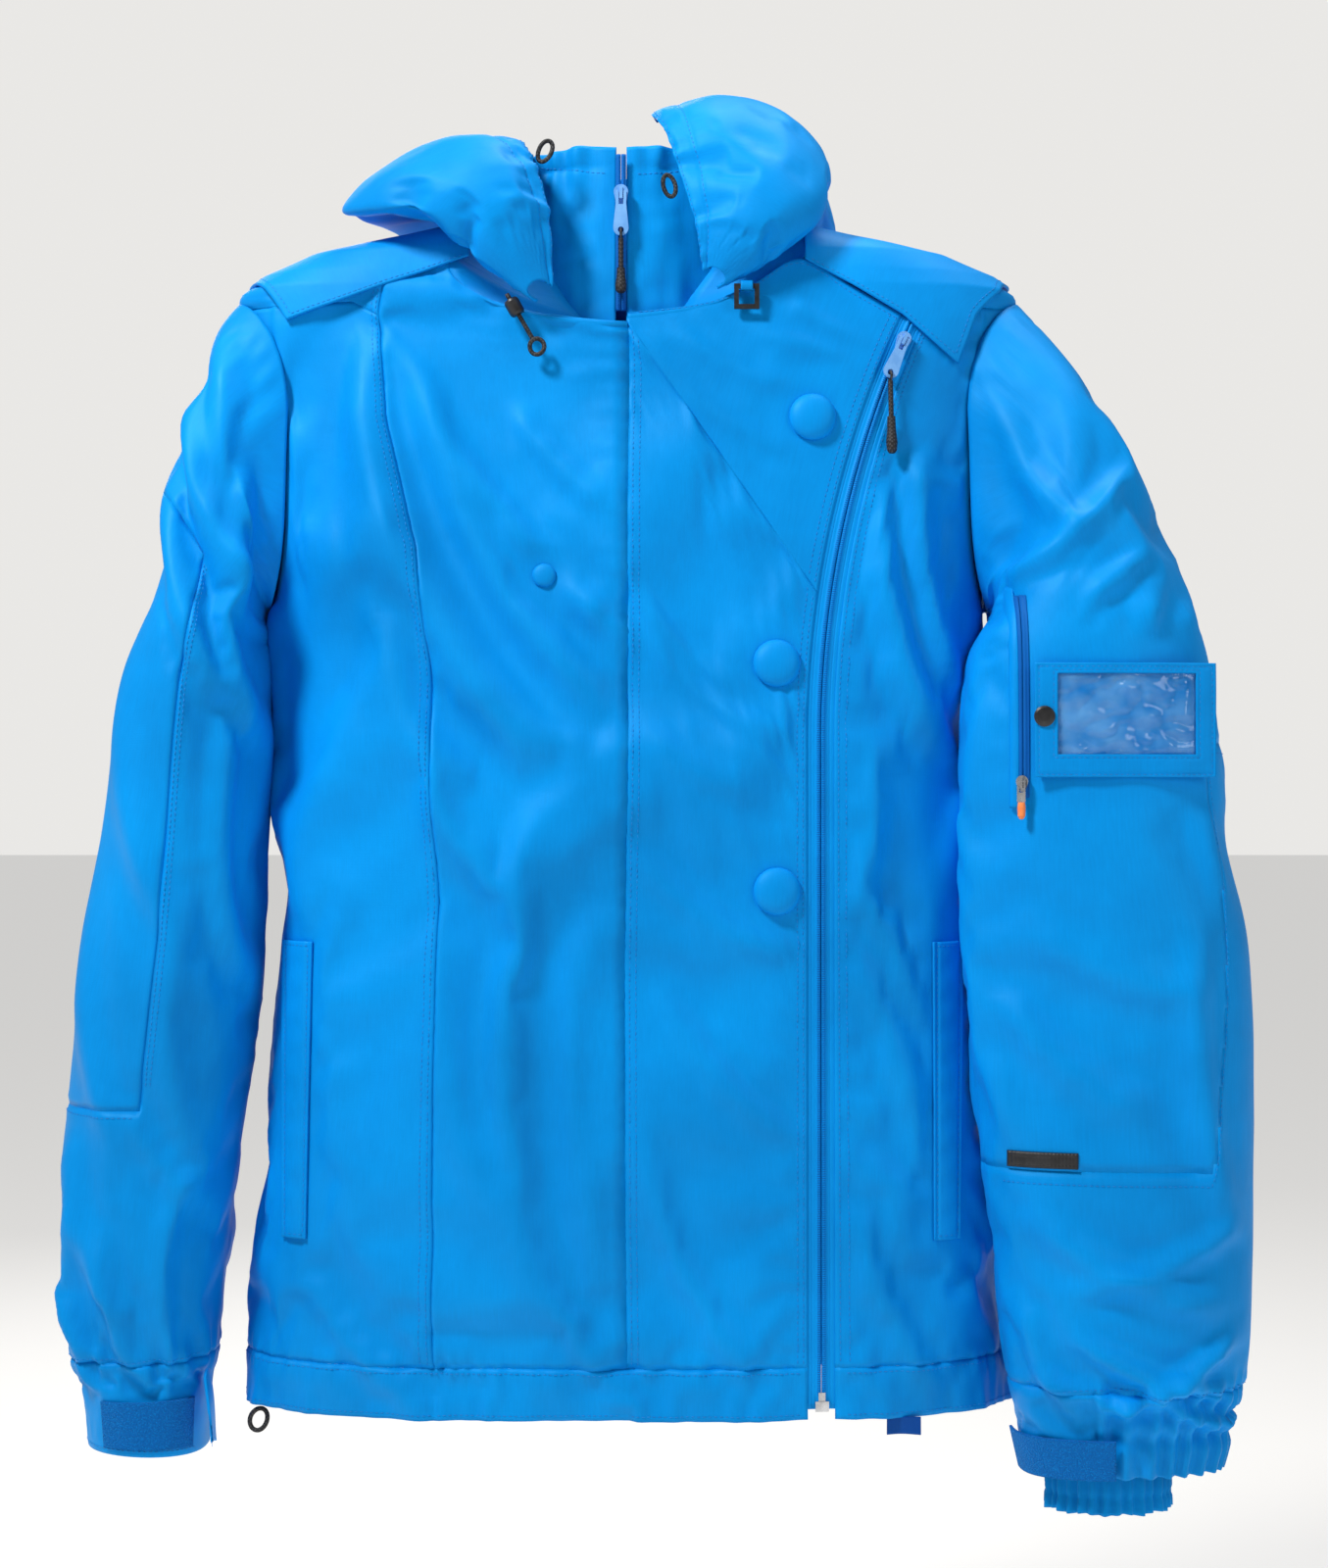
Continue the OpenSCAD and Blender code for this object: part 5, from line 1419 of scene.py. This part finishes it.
def sleeve_front(x, z):
    x, z = np.broadcast_arrays(np.asarray(x, float), np.asarray(z, float))
    k = sleeve_ring_at(x, z)
    r = catmull(LEFT_RINGS, k - 1)
    q = np.clip((2 * x - r[..., 0] - r[..., 2]) / (r[..., 2] - r[..., 0]), -1, 1)
    turn = np.mod(np.degrees(np.arccos(q)) / 18.0 + 10, 20)
    return left_form(turn, k)


def sleeve_front_normal(x, z):
    across = sleeve_front(x + 2, z) - sleeve_front(x - 2, z)
    upward = sleeve_front(x, z + 2) - sleeve_front(x, z - 2)
    return unit(np.cross(across, upward))


def sleeve_tape(side):
    def surface(i, j):
        z = -356 + 118 * j
        x = 230 + side * (0.15 + 3.2 * i)
        d = 0.15 + 3.2 * i
        hump = 0.7 * np.exp(-(((d - 1.2) / 0.9) ** 2))
        return sleeve_front(x, z) + sleeve_front_normal(x, z) * (0.9 + hump)[..., None]

    return surface


for side, label in ((1, "outer"), (-1, "inner")):
    bm = panel_mesh(sleeve_tape(side), 0, 1, 0, 1, 10, 60, 0.0, uv=(0.003, 0.118))
    if side < 0:
        bmesh.ops.reverse_faces(bm, faces=bm.faces)
    finish_piece("sleeve_zip_" + label, bm, TAPE_BLUE, ["sleeve_zip_tape"], thick=0.0006)


def zip_garage(side):
    """The folded cloth lip beside the sleeve zip."""
    def surface(i, j):
        z = -362 + 130 * j
        x = 230 + side * (2.2 + 5.5 * i)
        rise = 1.6 * np.sin(np.pi * np.clip(i * 0.8 + 0.2, 0, 1)) + 0.2
        return sleeve_front(x, z) + sleeve_front_normal(x, z) * rise[..., None]

    return surface


bm = panel_mesh(zip_garage(-1), 0, 1, 0, 1, 10, 50, 0.2, uv=(0.0055, 0.13))
bmesh.ops.reverse_faces(bm, faces=bm.faces)
finish_piece("sleeve_zip_lip", bm, SHELL_BLUE, thick=0.0008)
print("small zips made")

# %% [markdown]
# ## Pockets, buttons and the pass flap
#
# Each hand pocket is closed by a narrow welt. The buttons are domes covered with shell cloth, drawn
# tight over a mould, so a ring of tiny pleats shows at the foot. The pass flap has a window of clear
# film, which is never quite flat: its creases are what catch the light.

# %% Pocket welts
def welt(side):
    def surface(i, j):
        a = 181 + 0 * j if side > 0 else -205 - 2 * j
        b = 197 + 3 * j if side > 0 else -190 + 3 * j
        x = a + (b - a) * i
        z = -618 + 176 * j
        rise = 2.2 + 0.6 * np.sin(np.pi * i) + 0.25 * np.sin(j * 60) * np.exp(-((i - 0.5) ** 2) * 9)
        rise = rise - 0.7 * np.exp(-(((i - 0.12) / 0.05) ** 2)) - 0.7 * np.exp(-(((i - 0.88) / 0.05) ** 2))
        return front_at(x, z) + front_normal(x, z) * rise[..., None]

    return surface


for side, name in ((1, "left_pocket_welt"), (-1, "right_pocket_welt")):
    piece = finish_piece(name + "_cloth", panel_mesh(welt(side), 0, 1, 0, 1, 34, 110, 0.2, uv=(0.018, 0.176)),
        SHELL_BLUE,
        [name], thick=0.0018)


# %% Covered buttons and snap
def dome(name, x, z, d, h, lift, pleats, material, node):
    """A profile spun round the button's own axis, then stood on the shell."""
    r = d / 2
    profile = [(0.0, h), (r * 0.35, h * 0.97), (r * 0.62, h * 0.86), (r * 0.83, h * 0.66), (r * 0.95, h * 0.42),
        (r, h * 0.2), (r * 0.97, 0.05), (r * 0.86, -0.1)]
    bm = bmesh.new()
    verts = [bm.verts.new((a * MM, 0, b * MM)) for a, b in profile]
    edges = [bm.edges.new(pair) for pair in zip(verts, verts[1:])]
    bmesh.ops.spin(bm, geom=verts + edges, cent=(0, 0, 0), axis=(0, 0, 1), angle=2 * math.pi, steps=72,
        use_merge=True)
    bmesh.ops.remove_doubles(bm, verts=bm.verts, dist=1e-6)
    bmesh.ops.recalc_face_normals(bm, faces=bm.faces)
    for v in bm.verts:
        a = math.atan2(v.co.y, v.co.x)
        foot = max(0.0, 1 - v.co.z / (h * MM * 0.5))
        grow = 1 + 0.018 * foot * math.sin(a * pleats + 0.7 * math.sin(a * 5))
        v.co.x *= grow
        v.co.y *= grow
    layer = bm.loops.layers.uv.new("cloth")
    for f in bm.faces:
        f.smooth = True
        for loop in f.loops:
            loop[layer].uv = (loop.vert.co.x, loop.vert.co.y)
    n = Vector(front_normal(np.array(float(x)), np.array(float(z))))
    p = Vector(front_at(x, z)) * MM + n * lift * MM
    turn = n.to_track_quat("Z", "Y").to_matrix().to_4x4()
    turn.translation = p
    bmesh.ops.transform(bm, matrix=turn, verts=bm.verts)
    if sum(f.normal.dot(n) * f.calc_area() for f in bm.faces) < 0:
        bmesh.ops.reverse_faces(bm, faces=bm.faces)
    return finish_piece(name, bm, material, [node])


dome("button_top", 110, -130, 28, 6.5, 0.3, 36, SHELL_BLUE, "body_buttons")
dome("button_middle", 88, -277, 28, 6.5, 0.3, 36, SHELL_BLUE, "body_buttons")
dome("button_low", 88, -411, 28, 6.5, 0.3, 36, SHELL_BLUE, "body_buttons")
dome("snap_cap", -49, -225, 14, 3.0, 0.3, 0, SHELL_BLUE, "body_snaps")
print("welts, buttons and snap made")


# %% Pass flap with its clear window
FLAP_X0, FLAP_X1, FLAP_LOW, FLAP_HIGH = 235.5, 341.5, -344.0, -278.0
WIN_X0, WIN_X1, WIN_LOW, WIN_HIGH = 248.0, 330.0, -331.0, -284.0


def flap_at(x, z):
    y = sleeve_front(np.full_like(x, 268.0), z)[..., 1] + 0.0019 * (x - 268) ** 2
    return np.stack([x, y, z], -1)


def flap_surface(i, j):
    x, z = FLAP_X0 + (FLAP_X1 - FLAP_X0) * i, FLAP_LOW + (FLAP_HIGH - FLAP_LOW) * j
    p = flap_at(x, z)
    edge = np.minimum(np.minimum(x - FLAP_X0, FLAP_X1 - x), np.minimum(z - FLAP_LOW, FLAP_HIGH - z))
    frame_line = np.maximum(np.maximum(WIN_X0 - x, x - WIN_X1), np.maximum(WIN_LOW - z, z - WIN_HIGH))
    rise = 3.0 - 0.6 * np.exp(-(((edge - 2.2) / 0.7) ** 2)) - 0.5 * np.exp(-(((frame_line - 1.8) / 0.7) ** 2))
    rise = rise + 0.35 * ripple(p, 14, 41) + 0.3 * np.sin(x / 6.0) * np.exp(-((edge / 5) ** 2))
    return p + np.stack([0 * x, -rise, 0 * x], -1)


def in_window(i, j):
    x, z = FLAP_X0 + (FLAP_X1 - FLAP_X0) * i, FLAP_LOW + (FLAP_HIGH - FLAP_LOW) * j
    return WIN_X0 < x < WIN_X1 and WIN_LOW < z < WIN_HIGH


def window_surface(i, j):
    x, z = WIN_X0 - 3 + (WIN_X1 - WIN_X0 + 6) * i, WIN_LOW - 3 + (WIN_HIGH - WIN_LOW + 5) * j
    p = flap_at(x, z)
    inside = np.clip(np.minimum(np.minimum(i, 1 - i), np.minimum(j, 1 - j)) * 9, 0, 1)
    crease = np.abs(ripple(p * np.array([1.0, 1.0, 1.6]), 14, 44)) * 4.2 + 0.9 * np.abs(ripple(p, 7, 45))
    return p + np.stack([0 * x, -(1.0 + crease * inside), 0 * x], -1)


piece = finish_piece("pass_flap_cloth", panel_mesh(flap_surface, 0, 1, 0, 1, 106, 66, 0.0, in_window,
    uv=(0.106, 0.066)),
    SHELL_BLUE, ["pass_flap"], ride="pass_flap", thick=0.0014)
piece = finish_piece("pass_window_film", panel_mesh(window_surface, 0, 1, 0, 1, 88, 54, 0.0, uv=(0.088, 0.05)),
    CLEAR_FILM,
    ["pass_window"], ride="pass_flap", thick=0.0003)


def pass_backing(i, j):
    x, z = FLAP_X0 + 1.5 + (FLAP_X1 - FLAP_X0 - 3) * i, FLAP_LOW + 1.5 + (FLAP_HIGH - FLAP_LOW - 3) * j
    p = flap_at(x, z)
    return p + np.stack([0 * x, -(0.1 + 0.25 * ripple(p, 18, 47)), 0 * x], -1)


finish_piece("pass_flap_backing", panel_mesh(pass_backing, 0, 1, 0, 1, 50, 32, 0.0, uv=(0.106, 0.066)), SHELL_BLUE,
    ride="pass_flap", thick=0.0004)
print("pass flap made")


# %% Sleeve badge, ring strap, cord loops and hem tab
def badge(i, j):
    x, z = 222 + 39 * i, -570.5 + 9.5 * j
    e = np.minimum(np.minimum(i * 39, (1 - i) * 39), np.minimum(j * 9.5, (1 - j) * 9.5))
    rise = 0.9 + 1.2 * np.clip(e / 1.2, 0,
        1) ** 0.5 - 0.35 * np.exp(-(((e - 2.6) / 0.4) ** 2)) + 0.12 * np.sin(x * 3.1)
    return sleeve_front(x, z) + sleeve_front_normal(x, z) * rise[..., None]


finish_piece("sleeve_badge_plain", panel_mesh(badge, 0, 1, 0, 1, 80, 26, 0.2, uv=(0.039, 0.0095)), BLACK_RUBBER,
    ["sleeve_badge"], thick=0.0008)


def cord_tube(name, points, radius, closed, material, nodes=(), ride=SHELL, turns=10):
    """A round cord: a circle of cloth-covered elastic carried along a line of points."""
    pts = [Vector(p) * MM for p in points]
    count = len(pts)
    bm = bmesh.new()
    rings = []
    side = Vector((0, 1, 0))
    for n, p in enumerate(pts):
        ahead = pts[(n + 1) % count] if closed else pts[min(n + 1, count - 1)]
        back = pts[(n - 1) % count] if closed else pts[max(n - 1, 0)]
        f = (ahead - back).normalized()
        s = (side - f * side.dot(f)).normalized()
        u = f.cross(s)
        made = bmesh.ops.create_circle(bm, cap_ends=False, segments=turns, radius=radius * MM)["verts"]
        turn = Matrix((s, u, f)).transposed().to_4x4()
        turn.translation = p
        bmesh.ops.transform(bm, matrix=turn, verts=made)
        rings.append([e for e in {e for v in made for e in v.link_edges}])
    pairs = list(zip(rings, rings[1:])) + ([(rings[-1], rings[0])] if closed else [])
    for a, b in pairs:
        bmesh.ops.bridge_loops(bm, edges=a + b)
    if not closed:
        for loop in (rings[0], rings[-1]):
            bmesh.ops.contextual_create(bm, geom=loop)
    bmesh.ops.recalc_face_normals(bm, faces=bm.faces)
    for f in bm.faces:
        f.smooth = True
    return finish_piece(name, bm, material, nodes, ride)


def loop_points(centre, rx, rz, lean=0.0, count=36):
    x, y, z = centre
    return [(x + rx * math.cos(a) + lean * math.sin(a), y + 0.6 * math.sin(2 * a), z + rz * math.sin(a))
        for a in (2 * math.pi * n / count for n in range(count))]


LOCK = Vector((-67, -69.5, -65))
AXIS = Vector((0.5, 0, -0.87)).normalized()
CORDS = [
    ("hood_cord_loop_right", loop_points((-49, -63, 29), 4.0, 6.2, 1.8), 1.35, True, "hood_cord_loops"),
    ("hood_cord_loop_left", loop_points((25, -65, 8), 3.6, 6.4, -1.2), 1.35, True, "hood_cord_loops"),
    ("hood_cord_end", [LOCK + AXIS * t for t in np.linspace(-9, 23, 14)], 1.35, False, "hood_cord_loops"),
    ("hood_cord_end_loop", loop_points(tuple(LOCK + AXIS * 27), 4.3, 4.7), 1.35, True, "hood_cord_loops"),
    ("hem_cord_loop_elastic", loop_points((-222, -48, -730), 5.2, 6.6, 1.0), 1.45, True, "hem_cord_loop"),
]
for name, points, radius, closed, node in CORDS:
    cord_tube(name, points, radius, closed, BLACK_CORD, [node])


def strap(i, j):
    a = np.pi * (1.25 - 1.5 * i)
    return np.stack([67.4 + 7.2 * j, -65.2 + 4.0 * np.cos(a) * 0.8, -51.9 + 2.9 * np.sin(a)], -1)


bm = panel_mesh(strap, 0, 1, 0, 1, 30, 8, 0.0, uv=(0.02, 0.007))
finish_piece("ring_strap_cloth", outward(bm, (71, -65.2, -51.9)), SHELL_BLUE, ["ring_strap"],
    thick=0.0008)


def hem_label(i, j):
    y = -82.2 + 0.5 * np.sin(i * 5) * (1 - j)
    z = -731 + 10.5 * j + 0.5 * np.sin(i * 3.3) * (1 - j)
    return np.stack([153 + 20 * i, y, z], -1)


finish_piece("hem_tab_webbing", panel_mesh(hem_label, 0, 1, 0, 1, 24, 12, 0.3, uv=(0.02, 0.0105)), LINING_BLUE,
    ["hem_tab"], thick=0.0012, offset=0.0)
print("small trims made")

# %% [markdown]
# ## Topstitching
#
# Rows of thread run beside each seam. One stitch is a small rounded bar, about two and a half
# millimetres long, sunk a little into the cloth. The rows follow the same surfaces as the panels, so they
# dip and rise with every fold.

# %% Rows of stitches
stitch = small_bar(0.0025, 0.00055, 0.0005)
PITCH = 3.3


def row_on(surface, i, j, lift=0.12):
    """Stitch places along a line of grid numbers on a surface."""
    i, j = np.broadcast_arrays(np.asarray(i, float), np.asarray(j, float))
    p = surface(i, j)
    n = unit(np.cross(surface(i + 0.02, j) - surface(i - 0.02, j), surface(i, j + 0.02) - surface(i, j - 0.02)))
    return frames_along(p + n * lift, n, PITCH)


def body_rows():
    rows = []
    for i, j_low, j_high in ((42.13, 1.05, 24.9), (42.3, 1.05, 24.9), (36.88, 1.05, 24.9), (36.72, 1.05, 24.9),
            (8.1, 1.05, 15), (27.9, 1.05, 15), (0.1, 1.1, 24), (0.28, 1.1, 24), (46.72, 1.1, 24.6), (46.88,
                1.1, 24.6)):
        at = np.linspace(j_low, j_high, 400)
        rows += row_on(body, np.full_like(at, i), at)
    at = np.linspace(0.2, 46.8, 900)
    rows += row_on(body, at, np.full_like(at, 0.9))
    rows += row_on(body, at, np.full_like(at, 0.1))
    at = np.linspace(8.1, 27.9, 400)
    rows += row_on(body, at, np.full_like(at, 18.1))
    return rows


def sleeve_rows():
    rows = []
    turn = np.linspace(1.5, 18.5, 320)
    rows += row_on(left_sleeve_surface, turn, left_lower_edge(turn) + 0.09)
    rows += row_on(left_sleeve_surface, turn, np.full_like(turn, 12.92))
    rows += row_on(right_sleeve_surface, turn, np.full_like(turn, 12.92))
    rows += row_on(right_sleeve_surface, turn, np.full_like(turn, 14.85))
    down = np.linspace(3.1, 9.7, 200)
    rows += row_on(right_sleeve_surface, np.full_like(down, 4.86), down)
    rows += row_on(right_sleeve_surface, np.full_like(down, 4.7), down)
    low = np.linspace(5.2, 13.9, 160)
    rows += row_on(right_sleeve_surface, low, np.full_like(low, 10.07))
    return rows


def top_rows():
    rows = []
    for j in (4.5, 4.9):
        at = np.linspace(0.2, 13.8, 520)
        rows += row_on(hood, at, np.full_like(at, j))
    for i in (5.14, 8.86):
        at = np.linspace(0.3, 4.4, 160)
        rows += row_on(hood, np.full_like(at, i), at)
    at = np.linspace(0.4, 27.6, 500)
    rows += row_on(collar, at, np.full_like(at, 4.35))
    for side in (1, -1):
        surface = yoke_surface(side)
        at = np.linspace(0.15, 9.85, 200)
        outer = 5.8 if side > 0 else 0.2
        rows += row_on(surface, np.full_like(at, outer), at)
        for j in (0.14, 9.86):
            across = np.linspace(0.2, 5.8, 100)
            rows += row_on(surface, across, np.full_like(across, j))
    at = np.linspace(0.2, 4.9, 120)
    rows += row_on(lapel, at, np.full_like(at, 5.86))
    for edge in (4.9, 4.75):
        up = np.linspace(0.1, 5.9, 120)
        rows += row_on(lapel, np.full_like(up, edge), up)
    return rows


def trim_rows():
    rows = []
    for side in (1, -1):
        up = np.linspace(0.02, 0.98, 120)
        for i in (0.12, 0.88):
            rows += row_on(welt(side), np.full_like(up, i), up)
        across = np.linspace(0.1, 0.9, 12)
        for j in (0.015, 0.985):
            rows += row_on(welt(side), across, np.full_like(across, j))
    return rows


for name, rows in (("body_topstitching", body_rows()), ("sleeve_topstitching", sleeve_rows()),
        ("hood_and_collar_topstitching", top_rows()), ("pocket_topstitching", trim_rows())):
    repeat_bars(name, stitch, rows, THREAD_BLUE)
    print(name, len(rows), "stitches")

flap_rows = []
for line in (0.022, 0.978):
    t = np.linspace(0.02, 0.98, 120)
    flap_rows += row_on(flap_surface, t, np.full_like(t, line if line < 0.5 else 0.967))
    flap_rows += row_on(flap_surface, np.full_like(t, line), t)
for line in (WIN_X0 - 1.8, WIN_X1 + 1.8):
    t = np.linspace((WIN_LOW - 1.8 - FLAP_LOW) / 66, (WIN_HIGH + 1.8 - FLAP_LOW) / 66, 60)
    flap_rows += row_on(flap_surface, np.full_like(t, (line - FLAP_X0) / 106), t)
for line in (WIN_LOW - 1.8, WIN_HIGH + 1.8):
    t = np.linspace((WIN_X0 - 1.8 - FLAP_X0) / 106, (WIN_X1 + 1.8 - FLAP_X0) / 106, 90)
    flap_rows += row_on(flap_surface, t, np.full_like(t, (line - FLAP_LOW) / 66))
repeat_bars("pass_flap_topstitching", stitch, flap_rows, THREAD_BLUE, ride="pass_flap")
print("pass flap", len(flap_rows), "stitches")

# %% [markdown]
# ## Carry the hard pieces over
#
# Every CAD piece that is still shown keeps its exact shape and gets its own finish.

# %% Finishes for the CAD pieces
FINISH_OF = {
    "shell_fabric": SHELL_BLUE, "lining_fabric": LINING_BLUE, "zip_tape": TAPE_BLUE, "rib_knit": KNIT_BLUE,
    "loop_fabric": LOOP_PILE, "light_plastic": TAB_BLUE, "black_cord": BLACK_CORD, "black_plastic": BLACK_PLASTIC,
    "bright_metal": BRIGHT_METAL, "orange_rubber": ORANGE_RUBBER, "clear_film": CLEAR_FILM,
}
shown = []
for node, thing in frame["nodes"].items():
    finish = FINISH_OF.get(NODE_SLOT_OF.get(node, "shell_fabric"), SHELL_BLUE)
    if not thing.material_slots:
        thing.data.materials.append(finish)
    for place in thing.material_slots:
        place.material = finish
    if not thing.hide_render:
        shown.append(node)
print("CAD pieces still shown:", sorted(shown))
